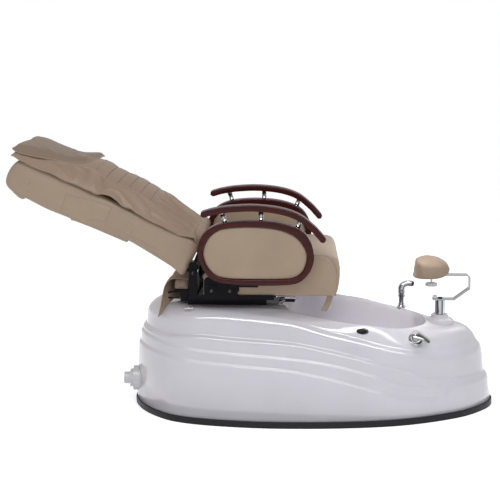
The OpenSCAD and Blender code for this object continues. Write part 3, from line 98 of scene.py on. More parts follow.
# Lamps
def lamp(name, loc, at, size, power):
    """A soft lamp of (width, height) metres, turned toward a place."""
    d = bpy.data.lights.new(name, "AREA")
    d.shape = "RECTANGLE"
    d.size, d.size_y = size
    d.energy = power
    ob = add(name, d)
    ob.location = loc
    look(ob, at)
    return ob


lamp("key", (1.5, -4.2, 1.9), (-0.1, 0, 0.45), (2.4, 1.8), 5)
lamp("fill", (-2.6, -3.8, 1.5), (-0.3, 0, 0.5), (2.4, 2.0), 6)
lamp("top", (0.1, 0.2, 3.8), (0.1, 0.0, 0.4), (2.4, 1.6), 12)
lamp("strip", (0.2, -2.4, 3.0), (0.1, -0.3, 0.4), (3.2, 0.2), 24)
# The gloss lamp is seen only in what shines, such as the acrylic
lamp("gloss", (0.1, -2.2, 3.4), (0, -0.35, 0.35), (6.0, 0.9), 140).visible_diffuse = False
lamp("basin", (0.38, -0.3, 2.6), (0.27, 0.03, 0.2), (0.25, 0.25), 0.5).data.spread = math.radians(13)
lamp("back", (1.8, 3.0, 2.4), (0, 0, 0.5), (2.0, 1.6), 10)


# Shader nodes
def shader(tree, kind, **values):
    """A shader node, with values for its inputs."""
    n = tree.nodes.new("ShaderNode" + kind)
    for key, value in values.items():
        n.inputs[key].default_value = value
    return n


def calc(tree, operation, *terms):
    """A math node over numbers and other nodes' outputs."""
    n = shader(tree, "Math")
    n.operation = operation
    for socket, term in zip(n.inputs, terms):
        if isinstance(term, float):
            socket.default_value = term
        else:
            tree.links.new(term, socket)
    return n.outputs[0]


def make_world():
    """A pale room: soft light on the chair, and white where the camera or a shiny surface sees it."""
    world = bpy.data.worlds.new("world")
    scene.world = world
    world.use_nodes = True
    wt = world.node_tree
    wt.nodes.clear()
    rays = shader(wt, "LightPath").outputs
    soft = shader(wt, "Background", Color=(0.93, 0.95, 1, 1), Strength=0.45)
    seen = shader(wt, "Background", Color=(1, 1, 1, 1))
    dimmed_in_gloss = calc(wt, "MULTIPLY_ADD", rays["Is Glossy Ray"], -0.3, 1.0)
    wt.links.new(dimmed_in_gloss, seen.inputs["Strength"])
    direct = calc(wt, "MAXIMUM", rays["Is Camera Ray"], rays["Is Glossy Ray"])
    direct = calc(wt, "MAXIMUM", direct, rays["Is Transmission Ray"])
    mix = shader(wt, "MixShader")
    for value, socket in zip((direct, soft.outputs[0], seen.outputs[0]), mix.inputs):
        wt.links.new(value, socket)
    wt.links.new(mix.outputs[0], shader(wt, "OutputWorld").inputs[0])


make_world()


# Materials
def material(name, color, rough=0.5, metal=0.0, coat=0.0, coat_rough=0.1, spec=0.5, sheen=0.0):
    m = bpy.data.materials.new(name)
    m.use_nodes = True
    m.diffuse_color = (*color, 1)
    surface = {"Base Color": (*color, 1), "Roughness": rough, "Metallic": metal, "Coat Weight": coat,
               "Coat Roughness": coat_rough, "Specular IOR Level": spec, "Sheen Weight": sheen}
    for key, value in surface.items():
        m.node_tree.nodes["Principled BSDF"].inputs[key].default_value = value
    return m


def into_surface(m, value, name):
    m.node_tree.links.new(value, m.node_tree.nodes["Principled BSDF"].inputs[name])


def place(m, stretch=(1, 1, 1)):
    """Places on the piece, in metres, stretched along its axes."""
    nt = m.node_tree
    mp = shader(nt, "Mapping", Scale=stretch)
    nt.links.new(shader(nt, "TexCoord").outputs["Object"], mp.inputs[0])
    return mp.outputs[0]


def cloudy(m, scale, stretch=(1, 1, 1), detail=4.0, rough=0.55):
    """Noise over the piece, 0 to 1."""
    tx = shader(m.node_tree, "TexNoise", Scale=scale, Detail=detail, Roughness=rough)
    m.node_tree.links.new(place(m, stretch), tx.inputs["Vector"])
    return tx.outputs["Fac"]


def cells(m, scale):
    """The distance to the next point of a field of cells."""
    tx = shader(m.node_tree, "TexVoronoi", Scale=scale)
    m.node_tree.links.new(place(m), tx.inputs["Vector"])
    return tx.outputs["Distance"]


def tint(m, value, stops):
    """Base colour from a value, through a ramp of (place, colour)."""
    ramp = shader(m.node_tree, "ValToRGB")
    while len(ramp.color_ramp.elements) < len(stops):
        ramp.color_ramp.elements.new(0.5)
    for e, (at, c) in zip(ramp.color_ramp.elements, stops):
        e.position = at
        e.color = (*c, 1)
    m.node_tree.links.new(value, ramp.inputs[0])
    into_surface(m, ramp.outputs[0], "Base Color")


def vary_rough(m, value, low, high):
    spread = shader(m.node_tree, "MapRange")
    spread.inputs["To Min"].default_value = low
    spread.inputs["To Max"].default_value = high
    m.node_tree.links.new(value, spread.inputs["Value"])
    into_surface(m, spread.outputs[0], "Roughness")


def bump(m, layers):
    """Bumps in a chain: (height, strength, distance in metres)."""
    nt = m.node_tree
    last = None
    for value, strength, dist in layers:
        b = shader(nt, "Bump", Strength=strength, Distance=dist)
        nt.links.new(value, b.inputs["Height"])
        if last:
            nt.links.new(last, b.inputs["Normal"])
        last = b.outputs[0]
    into_surface(m, last, "Normal")


def shade(c, k):
    return tuple(v * k for v in c)


def leather(name, color, wrinkle=0.25):
    """Mottled leather with soft wrinkles, grain and pores."""
    m = material(name, color, rough=0.48, spec=0.3, sheen=0.05)
    tint(m, cloudy(m, 5, detail=3), [(0.3, shade(color, 0.93)), (0.7, shade(color, 1.06))])
    vary_rough(m, cloudy(m, 60), 0.4, 0.54)
    wrinkles = cloudy(m, 26, detail=5, rough=0.6)
    pores = cloudy(m, 1400, detail=2)
    bump(m, [(wrinkles, wrinkle, 0.004), (cells(m, 520), 0.22, 0.0006), (pores, 0.12, 0.0003)])
    return m


def wood(name, dark, light, stretch=(5, 60, 60), coat=0.7):
    """Long fibres from dark to light, under a clear coat."""
    m = material(name, dark, rough=0.36, coat=coat, spec=0.08)
    fibre = cloudy(m, 1, stretch, detail=8, rough=0.65)
    between = tuple((a + b) / 2 for a, b in zip(dark, light))
    tint(m, fibre, [(0.34, dark), (0.5, between), (0.66, light)])
    vary_rough(m, cloudy(m, 30), 0.28, 0.42)
    bump(m, [(fibre, 0.06, 0.0006)])
    return m


def metal(name, color, rough, bands, spread=0.03, stretch=(1, 1, 1), grain=0.03):
    """Metal with fine grain. Its bands, (place, value), are painted reflections on top of its real ones: light and
    dark by the angle of view.
    """
    m = material(name, color, rough=rough, metal=1.0)
    tx = cloudy(m, 90, stretch, detail=3)
    vary_rough(m, tx, max(rough - spread, 0.02), rough + spread)
    bump(m, [(tx, grain, 0.0004)])
    facing = shader(m.node_tree, "LayerWeight", Blend=0.5).outputs["Facing"]
    tint(m, facing, [(at, (k, k * 1.005, k * 1.02)) for at, k in bands])
    return m


def plastic(name, color, rough, bump_scale=300, depth=0.06, coat=0.0, spec=0.5):
    """Plastic, paint or rubber, barely uneven in colour, gloss and surface."""
    m = material(name, color, rough=rough, coat=coat, coat_rough=0.04, spec=spec)
    vary_rough(m, cloudy(m, 20), rough * 0.8, min(rough * 1.25, 1))
    tint(m, cloudy(m, 9), [(0.3, shade(color, 0.96)), (0.7, color)])
    bump(m, [(cloudy(m, bump_scale, detail=3), depth, 0.0004)])
    return m


TAN = (0.465, 0.35, 0.25)
# A darker, warmer tan: painted shade for the cover, the lumbar pad and the head flap
SHADED_TAN = (0.455, 0.315, 0.215)
BLACK = (0.005, 0.005, 0.0065)
# Painted reflections of the metals: bands of (share of facing, value), light and dark by the angle of view
CHROME_REFLECTIONS = [
    (0, 0.55), (0.1, 0.2), (0.2, 0.07), (0.3, 0.5), (0.42, 0.9), (0.6, 0.3), (0.8, 0.12), (1, 0.75)]
DARK_CHROME_REFLECTIONS = [(0.0, 0.05), (0.25, 0.02), (0.5, 0.3), (0.8, 0.06), (1.0, 0.6)]
ZINC_REFLECTIONS = [(0.0, 0.36), (0.4, 0.42), (0.7, 0.3), (1.0, 0.5)]
FINISH = {
    "leather": leather("tan_leather", TAN),
    # Painted shade: the cover and the lumbar pad get a darkened copy of the tan leather
    "leather_soft_shaded": leather("tan_leather_soft", shade(SHADED_TAN, 0.78), 0.6),
    # Painted shade: the head flap gets a still darker copy of the tan leather
    "leather_flap_shaded": leather("tan_leather_flap", shade(SHADED_TAN, 0.6), 0.6),
    # Painted shade: the foot pad gets a darkened copy of the tan leather, which offsets the basin lamp's light on
    # it
    "leather_pad_shaded": leather("tan_leather_pad", shade(TAN, 0.79)),
    "leather_dark": leather("tan_leather_shaded", shade(TAN, 0.8), 0.4),
    "mahogany": wood("mahogany", (0.036, 0.0036, 0.003), (0.07, 0.007, 0.0056), coat=0.3),
    "plywood": wood("plywood", (0.35, 0.22, 0.11), (0.6, 0.42, 0.24), (4, 30, 200), 0.0),
    "tub": plastic("tub_acrylic", (0.82, 0.795, 0.845), 0.14, 22, 0.01, coat=0.5),
    "trim": plastic("kick_rubber", (0.014, 0.013, 0.015), 0.42, 500, 0.08, spec=0.25),
    "frame_steel": plastic("black_steel", BLACK, 0.4, 900, 0.12, spec=0.1),
    "black_plastic": plastic("black_plastic", BLACK, 0.42, 700, 0.1, spec=0.12),
    "white_pvc": plastic("white_pvc", (0.78, 0.78, 0.79), 0.32, 60, 0.02),
    "white_plastic": plastic("white_plastic", (0.8, 0.8, 0.81), 0.2, 60, 0.02, coat=0.3),
    "chrome": metal("chrome", (0.6, 0.6, 0.62), 0.07, CHROME_REFLECTIONS),
    "dark_chrome": metal("dark_chrome", (0.2, 0.2, 0.21), 0.08, DARK_CHROME_REFLECTIONS),
    "zinc": metal("zinc_steel", (0.4, 0.41, 0.42), 0.3, ZINC_REFLECTIONS, 0.08, (1, 1, 12), 0.06),
    "stitch": plastic("stitch_thread", (0.55, 0.46, 0.38), 0.7, 900, 0.2),
}


# Floor, pale and lit a little by itself where the camera sees it
FLOOR_HALF = 14.0


def make_floor():
    s = FLOOR_HALF
    mesh = bpy.data.meshes.new("floor")
    mesh.from_pydata([(-s, -s, 0), (s, -s, 0), (s, s, 0), (-s, s, 0)], [], [(0, 1, 2, 3)])
    m = material("floor_pale", (0.9, 0.9, 0.9), rough=0.9, spec=0.1)
    nt = m.node_tree
    rays = shader(nt, "LightPath").outputs
    glow = shader(nt, "Emission")
    both = shader(nt, "AddShader")
    direct = calc(nt, "MAXIMUM", rays["Is Camera Ray"], rays["Is Glossy Ray"])
    nt.links.new(calc(nt, "MULTIPLY_ADD", direct, 0.52, 0.1), glow.inputs["Strength"])
    nt.links.new(nt.nodes["Principled BSDF"].outputs[0], both.inputs[0])
    nt.links.new(glow.outputs[0], both.inputs[1])
    nt.links.new(both.outputs[0], nt.nodes["Material Output"].inputs[0])
    mesh.materials.append(m)
    add("floor", mesh)


make_floor()


# Finish of the CAD nodes that stay
OTHER_FINISH = {"hinge_pins": "frame_steel", "slide_rails": "dark_chrome", "slide_runners": "dark_chrome",
                "seat_board": "leather_dark"}
for n, ob in NODES.items():
    ob.data.materials.clear()
    ob.data.materials.append(FINISH[OTHER_FINISH.get(n, SLOT[n])])


def soften(names, width, segments=2, angle=32):
    """Machined edges on CAD nodes: a small bevel and even normals."""
    for name in names.split():
        ob = NODES[name]
        b = ob.modifiers.new("edge", "BEVEL")
        b.width = width * MM
        b.segments = segments
        b.limit_method = "ANGLE"
        b.angle_limit = math.radians(angle)
        b.harden_normals = True
        ob.data.polygons.foreach_set("use_smooth", [True] * len(ob.data.polygons))


soften("slide_base seat_frame arm_bracket_near arm_bracket_far base_frame control_box seat_pan", 1.0)
soften("deck_bolts hinge_pins slide_rails slide_runners foot_bracket massage_carriage back_frame clamp_knob"
       " pad_knob seat_board pad_board levelling_feet jet_pump recline_motor", 0.7)
soften("mixer_base foot_post post_plug post_collar drain_union drain_pipe basin_drain jet_nozzle jet_pipe"
       " release_bail release_grip massage_rails massage_rollers motor_cable", 0.8, angle=35)


# Curves and fields
def pchip(table, x):
    """A smooth lookup through (place, value) rows, without overshoot."""
    t = np.asarray(table, float)
    xs, ys = t[:, 0], t[:, 1]
    h, d = np.diff(xs), np.diff(ys) / np.diff(xs)
    m = np.zeros(len(xs))
    for i in range(1, len(xs) - 1):
        if d[i - 1] * d[i] > 0:
            a, b = 2 * h[i] + h[i - 1], h[i] + 2 * h[i - 1]
            m[i] = (a + b) / (a / d[i - 1] + b / d[i])
    m[0], m[-1] = d[0], d[-1]
    x = np.clip(np.asarray(x, float), xs[0], xs[-1])
    i = np.clip(np.searchsorted(xs, x) - 1, 0, len(h) - 1)
    s = (x - xs[i]) / h[i]
    return (ys[i] * (1 + 2 * s) * (1 - s) ** 2 + m[i] * h[i] * s * (1 - s) ** 2
            + ys[i + 1] * s * s * (3 - 2 * s) + m[i + 1] * h[i] * s * s * (s - 1))


def curve(pts, steps, closed=True):
    """A Catmull-Rom curve through points."""
    p = np.asarray(pts, float)
    n = len(p)
    out = []
    for i in range(n if closed else n - 1):
        a, b, c, d = [p[(i + k) % n] if closed else p[min(max(i + k, 0), n - 1)] for k in (-1, 0, 1, 2)]
        for s in range(steps):
            t = s / steps
            out.append((b * 2 + (c - a) * t + (a * 2 - b * 5 + c * 4 - d) * t * t
                        + (b * 3 - a - c * 3 + d) * t ** 3) / 2)
    if not closed:
        out.append(p[-1])
    return np.array(out)


def even(pts, n, closed=True):
    """The same curve as n evenly spaced points."""
    p = np.asarray(pts, float)
    if closed:
        p = np.vstack([p, p[:1]])
    s = lengths(p)
    at = np.linspace(0, s[-1], n + 1)[:-1] if closed else np.linspace(0, s[-1], n)
    return np.stack([np.interp(at, s, p[:, k]) for k in range(p.shape[1])], 1)


def loop(pts, steps, n):
    """A closed outline of n even points through a few."""
    return even(curve(pts, steps), n)


def path(pts, steps, n):
    """An open line of n even points through a few."""
    return even(curve(pts, steps, closed=False), n, closed=False)


def lengths(p):
    """The length of a line up to each of its points."""
    return np.concatenate([[0], np.cumsum(np.linalg.norm(np.diff(p, axis=0), axis=1))])


def points(*columns):
    """Points from arrays or numbers for each of their coordinates."""
    return np.stack(np.broadcast_arrays(*columns), -1)


def unit(v):
    return v / np.maximum(np.linalg.norm(v, axis=-1, keepdims=True), 1e-9)


def smooth(x):
    """A soft step from 0 to 1."""
    x = np.clip(x, 0, 1)
    return x * x * (3 - 2 * x)


def power(x, k):
    """A power that keeps the sign."""
    return np.sign(x) * np.abs(x) ** k


def bell(x, width):
    """A smooth hump, 1 at zero."""
    return np.exp(-(x / width) ** 2)


def at_y(p, y):
    """Points (x, z) set at a y, or at one y each."""
    return points(p[:, 0], y, p[:, 1])


def near_line(p, line):
    """Distance of points to a line, and the share of the line's length there."""
    p, q = np.asarray(p, float), np.asarray(line, float)
    best = np.full(p.shape[:-1], 1e9)
    at = np.zeros(p.shape[:-1])
    s0 = lengths(q)
    for k in range(len(q) - 1):
        d = q[k + 1] - q[k]
        t = np.clip(((p - q[k]) @ d) / max(d @ d, 1e-9), 0, 1)
        e = np.linalg.norm(p - q[k] - t[..., None] * d, axis=-1)
        nearer = e < best
        best = np.where(nearer, e, best)
        at = np.where(nearer, (s0[k] + t * (s0[k + 1] - s0[k])) / s0[-1], at)
    return best, at


def ridge(p, line, width, fade=0.18):
    """A hump along a line, which fades out toward its two ends."""
    d, s = near_line(p, line)
    return bell(d, width) * smooth(s / fade) * smooth((1 - s) / fade)


def ripple(pts, scale, seed=0.0):
    """Smooth noise at points, about -1 to 1."""
    q = np.asarray(pts, float).reshape(-1, 3) * scale + seed
    return np.array([noise.noise(Vector(v)) for v in q]).reshape(np.asarray(pts).shape[:-1])


# Meshes
def rounded(rings, radii, steps=4):
    """Rings with the corners of their profile rounded by a radius each."""
    out = [rings[0]]
    for k in range(1, len(rings) - 1):
        a, b, c = rings[k - 1], rings[k], rings[k + 1]
        if np.max(radii[k]) <= 0:
            out.append(b)
            continue
        to_a = np.linalg.norm(b - a, axis=-1, keepdims=True)
        to_c = np.linalg.norm(c - b, axis=-1, keepdims=True)
        p0 = b + unit(a - b) * np.minimum(radii[k], 0.48 * to_a)
        p2 = b + unit(c - b) * np.minimum(radii[k], 0.48 * to_c)
        for t in np.linspace(0, 1, steps + 1):
            out.append(p0 * (1 - t) ** 2 + b * 2 * t * (1 - t) + p2 * t * t)
    out.append(rings[-1])
    return np.array(out)


def piece(name, verts, faces, body, mat):
    """A smooth mesh of points, as a piece that rides on a body."""
    mesh = bpy.data.meshes.new(name)
    mesh.from_pydata([tuple(v) for v in np.asarray(verts, float) * MM], [], faces)
    mesh.validate()
    mesh.polygons.foreach_set("use_smooth", [True] * len(mesh.polygons))
    mesh.materials.append(FINISH[mat])
    ob = add(name, mesh)
    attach(ob, body)
    return ob


def skin(name, grid, body, mat, slot, wrap_rows=False, wrap_cols=False, flip=False):
    """A piece over a grid of points of the shape (rows, columns, 3)."""
    g = np.asarray(grid, float)
    r, c = g.shape[:2]
    rows, cols = r if wrap_rows else r - 1, c if wrap_cols else c - 1
    i, j = np.divmod(np.arange(rows * cols), cols)
    i2, j2 = (i + 1) % r, (j + 1) % c
    f = points(i * c + j, i * c + j2, i2 * c + j2, i2 * c + j)
    if flip:
        f = f[:, ::-1]
    return piece(name, g.reshape(-1, 3), f.tolist(), body, mat)


def solid(ob, thick, offset=-1.0):
    """Thickness for a sheet: all behind its face, or centred on it with offset 0."""
    s = ob.modifiers.new("thick", "SOLIDIFY")
    s.thickness = thick * MM
    s.offset = offset
    s.use_even_offset = False


def tube(name, pts, r, body, mat, slot, sides=10, closed=False):
    """A round bar or piping along points, with round ends where it is open."""
    p = np.asarray(pts, float)
    r = np.broadcast_to(np.asarray(r, float), (len(p),))
    t = unit(np.roll(p, -1, 0) - np.roll(p, 1, 0)) if closed else unit(np.gradient(p, axis=0))
    up = np.array([0.0, 0.0, 1.0]) if abs(t[0][2]) < 0.9 else np.array([0.0, 1.0, 0.0])
    n = unit(np.cross(t[0], up))
    a = np.arange(sides) * 2 * math.pi / sides
    rows = []
    for k in range(len(p)):
        n = unit(n - t[k] * np.dot(n, t[k]))
        b = np.cross(t[k], n)
        rows.append(p[k] + (np.outer(np.cos(a), n) + np.outer(np.sin(a), b)) * r[k])
    if not closed:
        ends = []
        for k, out in ((0, -1), (-1, 1)):
            tip = np.tile(p[k] + out * t[k] * r[k] * 0.6, (sides, 1))
            shoulder = p[k] + out * t[k] * r[k] * 0.45 + (rows[k] - p[k]) * 0.75
            ends.append([tip, shoulder])
        rows = ends[0] + rows + ends[1][::-1]
    return skin(name, rows, body, mat, slot, wrap_rows=closed, wrap_cols=True)


def turned(name, profile, at, axes, body, mat, slot, n=64):
    """A turned form: (radius, height) rows about the last of three axes."""
    x, y, z = axes
    a = np.linspace(0, 2 * math.pi, n, endpoint=False)
    ring = np.outer(np.cos(a), x) + np.outer(np.sin(a), y)
    rows = [np.asarray(at) + r * ring + h * z for r, h in profile]
    return skin(name, rows, body, mat, slot, wrap_cols=True)


def basis(tilt, yaw):
    """Three axes of a fitting that leans by tilt toward yaw, in degrees."""
    t, w = math.radians(tilt), math.radians(yaw)
    return (np.array([math.cos(t) * math.cos(w), math.cos(t) * math.sin(w), -math.sin(t)]),
            np.array([-math.sin(w), math.cos(w), 0]),
            np.array([math.sin(t) * math.cos(w), math.sin(t) * math.sin(w), math.cos(t)]))


def pillow(outline, half, radius, cap, dome=2.0, spine=(0.3, 0.7), mid=None, rows=9, crown=0.0,
           crown_from=0.0, arc=6, blur=0):
    """Rows of a padded form as (x, y, z): an outline (x, z) swept to half on both sides of y = 0.
    Its sides are rounded by radius, and domed over rows at the cap's shares of the way to the spine.
    The spine runs between two shares of the length, at the height mid. The top rises by crown."""
    o = np.asarray(outline, float)
    lo, hi = o[:, 0].min() + np.ptp(o[:, 0]) * np.array(spine)
    spine_x = np.clip(o[:, 0], lo, hi)
    if callable(mid):
        spine_z = mid(spine_x)
    else:
        spine_z = np.full(len(o), o[:, 1].mean() if mid is None else mid)
    centre = points(spine_x, spine_z)
    reach = np.linalg.norm(centre - o, axis=1, keepdims=True)
    inward = unit(centre - o)
    bend = np.minimum(radius, reach * 0.9)
    soft = o
    if blur:
        k = np.exp(-0.5 * (np.arange(-3 * blur, 3 * blur + 1) / blur) ** 2)
        long = np.concatenate([o[-3 * blur:], o, o[:3 * blur]])
        soft = np.stack([np.convolve(long[:, axis], k / k.sum(), "valid") for axis in (0, 1)], 1)

    def row(inset, y):
        softer = smooth(inset / radius * 1.3) * (1 - smooth((inset / reach - 0.45) / 0.5))
        return at_y(o + (soft - o) * softer + inward * inset, y)

    side = []
    for f in cap:
        inset = bend + (reach - bend) * (f - cap[-1]) / (1 - cap[-1])
        flat = np.maximum(reach[:, 0] * 0.6 - bend[:, 0], 1)
        side.append(row(inset, half + dome * smooth((inset - bend)[:, 0] / flat)))
    for t in np.linspace(0, math.pi / 2, arc)[1:]:
        side.append(row(bend * (1 - math.sin(t) ** 0.82), half - radius * (1 - math.cos(t) ** 0.82)))
    far = np.array(side)
    between = np.array([row(0, y) for y in np.linspace(half - radius, radius - half, rows)[1:-1]])
    g = np.concatenate([far, between, far[::-1] * [1, -1, 1]])
    e = np.clip(np.abs(g[..., 1]) / half, 0, 1)
    g[..., 2] += crown * (1 - e ** 2) * smooth((g[..., 2] - crown_from) / 30)
    return g


def wall_y(g, line, s, least):
    """The y of a padded form's side s, beyond least, at points (x, z) of a line."""
    wall = g[g[..., 1] * s > least]
    return np.array([wall[np.argmin(np.hypot(wall[:, 0] - x, wall[:, 2] - z)), 1] for x, z in line])


def piping(name, pts, r, body="backrest", mat="leather_dark", sides=8, closed=False):
    """A leather welt, hem or raised seam."""
    return tube(name, pts, r, body, mat, "leather", sides=sides, closed=closed)


def stitches(name, pts, body, length, gap, r, normal, lift):
    """A run of thread stitches along points, as one piece."""
    p = np.asarray(pts, float)
    s = lengths(p)
    nv = unit(np.asarray(normal, float))
    angles = np.arange(6) * math.pi / 3
    verts, faces = [], []
    for at in np.arange(0, s[-1] - length, length + gap):
        a, b = [np.array([np.interp(x, s, p[:, k]) for k in range(3)]) for x in (at, at + length)]
        side = np.cross(unit(b - a), nv)
        base = len(verts)
        for f, k in ((0, 0.4), (0.15, 1), (0.85, 1), (1, 0.4)):
            at_f = a + (b - a) * f + nv * lift
            verts += [at_f + (side * math.cos(c) + nv * math.sin(c)) * r * k for c in angles]
        for k in range(0, 18, 6):
            for j in range(6):
                j2 = (j + 1) % 6
                faces.append((base + k + j, base + k + j2, base + k + 6 + j2, base + k + 6 + j))
        faces.append(tuple(base + j for j in range(5, -1, -1)))
        faces.append(tuple(base + 18 + j for j in range(6)))
    return piece(name, verts, faces, body, "stitch")


# Tub: heights are shares of TUB_H over places that are shares of TUB_L
TUB_L, TUB_W, _ = np.ptp(box_mm("kick_trim"), axis=0)
TUB_H = box_mm("tub_shell")[1, 2]
TUB_T = 5
BOWL_X, BOWL_FRONT, BOWL_REAR, BOWL_HALF, BOWL_FLOOR = 150, 303, 280, 250, 160.0
KICK_TOP = 26.0
PLAN_N = 480
half_plan = [
    [-0.5, 0], [-0.498, 0.12], [-0.489, 0.245], [-0.474, 0.381], [-0.451, 0.525], [-0.421, 0.661],
    [-0.385, 0.779], [-0.341, 0.859], [-0.289, 0.915], [-0.23, 0.957], [-0.167, 0.987], [-0.103, 1],
    [-0.039, 0.997], [0.023, 0.987], [0.086, 0.965], [0.147, 0.933], [0.205, 0.888], [0.26, 0.824],
    [0.311, 0.744], [0.356, 0.656], [0.397, 0.563], [0.433, 0.448], [0.463, 0.323], [0.485, 0.203],
    [0.497, 0.093], [0.5, 0]]
low_lap = [
    [-0.55, 0.595], [-0.418, 0.582], [-0.307, 0.555], [-0.178, 0.536], [-0.105, 0.518], [0.012, 0.452],
    [0.147, 0.32], [0.26, 0.223], [0.356, 0.195], [0.55, 0.19]]
high_lap = [
    [-0.55, 0.709], [-0.392, 0.675], [-0.307, 0.655], [-0.245, 0.645], [-0.123, 0.623], [0.012, 0.57],
    [0.147, 0.448], [0.26, 0.33], [0.33, 0.291], [0.55, 0.255]]
ledge = [
    [-0.55, 0.75], [-0.431, 0.761], [-0.298, 0.789], [-0.227, 0.777], [-0.132, 0.764], [-0.068, 0.748],
    [0.027, 0.684], [0.123, 0.598], [0.187, 0.527], [0.251, 0.455], [0.315, 0.393], [0.379, 0.359],
    [0.429, 0.341], [0.55, 0.311]]
brow = [
    [-0.55, 0.94], [-0.446, 0.95], [-0.336, 0.965], [-0.259, 0.975], [-0.176, 0.964], [-0.068, 0.925],
    [0.027, 0.836], [0.123, 0.752], [0.187, 0.689], [0.251, 0.643], [0.309, 0.614], [0.384, 0.6],
    [0.55, 0.6]]
rim = [
    [-0.55, 1], [-0.088, 1], [-0.069, 0.973], [-0.04, 0.955], [0.028, 0.916], [0.097, 0.882],
    [0.151, 0.857], [0.199, 0.825], [0.243, 0.805], [0.309, 0.789], [0.55, 0.75]]
brow_inset = [
    [-0.5, 0.9], [-0.336, 0.95], [-0.068, 1], [0.123, 0.93], [0.251, 0.77], [0.357, 0.75], [0.5, 0.84]]
# From the brow to the rim: the share of the way in, and how much of the height is reached there
brow_to_rim = [
    (0.08, [[-0.5, 0.95], [-0.3, 0.9], [-0.15, 0.5], [-0.06, 0.2], [0.26, 0.13], [0.36, 0.22], [0.45, 0.38],
        [0.5, 0.4]]),
    (0.25, [[-0.5, 1], [-0.25, 1], [-0.15, 0.8], [-0.06, 0.4], [0.26, 0.34], [0.36, 0.5], [0.45, 0.72],
        [0.5, 0.75]]),
    (0.6, [[-0.5, 1], [-0.15, 1], [-0.06, 0.75], [0.26, 0.7], [0.36, 0.75], [0.5, 0.8]])]
# Into the basin: the share of its plan, and the share of its depth that is left
basin_wall = [(0.985, 0.965), (0.965, 0.9), (0.9, 0.2), (0.86, 0.07), (0.78, 0)]

half_ring = np.array(half_plan) * [TUB_L, TUB_W / 2]
plan = loop(np.vstack([half_ring, half_ring[-2:0:-1] * [1, -1]]), 12, PLAN_N)
plan_spine = points(np.clip(plan[:, 0], -0.27 * TUB_L, 0.24 * TUB_L), 0)
plan_inward = unit(plan_spine - plan)
plan_share = plan[:, 0] / TUB_L


def inset(d, z):
    """The tub's plan, moved in by d at a height."""
    q = plan + plan_inward * np.reshape(d, (-1, 1))
    return points(q[:, 0], q[:, 1], z)


def tall(table):
    return pchip(table, plan_share) * TUB_H


def until(end, soft=7):
    """One behind a front end of a lap, nothing ahead of it."""
    return smooth((end - plan[:, 0]) / soft)


def bowl(k, toward):
    """The basin's plan at a share of its size, seen from its centre toward each point."""
    a = np.arctan2(toward[:, 1], toward[:, 0] - BOWL_X)
    c, s = np.cos(a), np.sin(a)
    front = ((np.abs(c) / BOWL_FRONT) ** 2 + (np.abs(s) / BOWL_HALF) ** 2) ** -0.5
    rear = ((np.abs(c) / BOWL_REAR) ** 4 + (np.abs(s) / BOWL_HALF) ** 4) ** -0.25
    r = np.where(c > 0, front, rear) * k
    return BOWL_X + r * c, r * s


def tub_rings():
    """The tub's skin from the kick band up over its laps, ledge and rim, and down into the basin."""
    brow_d = 82 * pchip(brow_inset, plan_share)
    brow_ring = inset(brow_d, tall(brow))
    edge_x, edge_y = bowl(1, brow_ring)
    edge_z = pchip(rim, edge_x / TUB_L) * TUB_H
    edge = points(edge_x, edge_y, edge_z)
    nose = smooth((plan_share - 0.28) / 0.12)[:, None]
    rings = [inset(3.7, 12.0),
             inset(16.0, tall(low_lap) - 4),
             inset(17 + 8 * until(532), tall(low_lap) + 5),
             inset(18 + 7 * until(548), tall(high_lap) - 4),
             inset(20 + 6 * until(554) + 7.5 * until(500), tall(high_lap) + 5),
             inset(27 + 3 * until(566) + 3 * until(520), tall(ledge) - 9),
             inset(50 - 12 * nose[:, 0], tall(ledge)),
             inset(brow_d - 20, tall(brow) - 20),
             brow_ring]
    for t, rise in brow_to_rim:
        q = brow_ring + (edge - brow_ring) * t
        q[:, 2] = brow_ring[:, 2] + (edge_z - brow_ring[:, 2]) * pchip(rise, plan_share)
        rings.append(q)
    rings.append(edge)
    for k, f in basin_wall:
        x, y = bowl(k, brow_ring)
        rings.append(points(x, y, BOWL_FLOOR + (edge_z - BOWL_FLOOR) * f))
    x, y = bowl(0.3, brow_ring)
    rings.append(points(x, y, BOWL_FLOOR))
    rings.append(np.tile([BOWL_X, 0, BOWL_FLOOR], (PLAN_N, 1)))
    radii = [0, 4, 4, 4, 4, 10, 6, 16 + 50 * nose, 12 + 40 * nose, 26 + 24 * nose, 60, 60, 9, 12, 40, 60, 40,
             60, 0, 0]
    return rounded(rings, radii, 6)


tub_grid = tub_rings()
tub = skin("tub_skin", tub_grid, "tub", "tub", "tub", wrap_cols=True, flip=True)
solid(tub, TUB_T)
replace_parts(tub, "tub_shell")
# The rows of the tub's skin that lie on top, under the skirt
UPPER_ROWS = slice(36, 80)
upper_side = tub_grid[UPPER_ROWS].reshape(-1, 3)


def deck_z(x, y):
    """Height of the tub's upper side under points of the plan."""
    q = points(np.ravel(x), np.ravel(y))
    k = [int(np.argmin(((upper_side[:, :2] - p) ** 2).sum(1))) for p in q]
    return upper_side[k, 2].reshape(np.shape(x))


def make_kick_band():
    """A rubber band round the foot, with a lip that turns in under the tub."""
    section = [(3.6, 0.0), (0.0, 0.0), (0.0, 22.0), (1.4, KICK_TOP), (3.6, KICK_TOP), (3.6, 12.5), (14, 12.0),
               (14, 7.0), (3.6, 6.0), (3.6, 0.0)]
    rings = rounded([inset(d, z) for d, z in section], [0, 0.8, 2, 1.5, 0.8, 0.5, 0.5, 0.5, 0.5, 0], 3)
    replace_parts(skin("kick_band", rings, "tub", "trim", "trim", wrap_cols=True), "kick_trim")


make_kick_band()

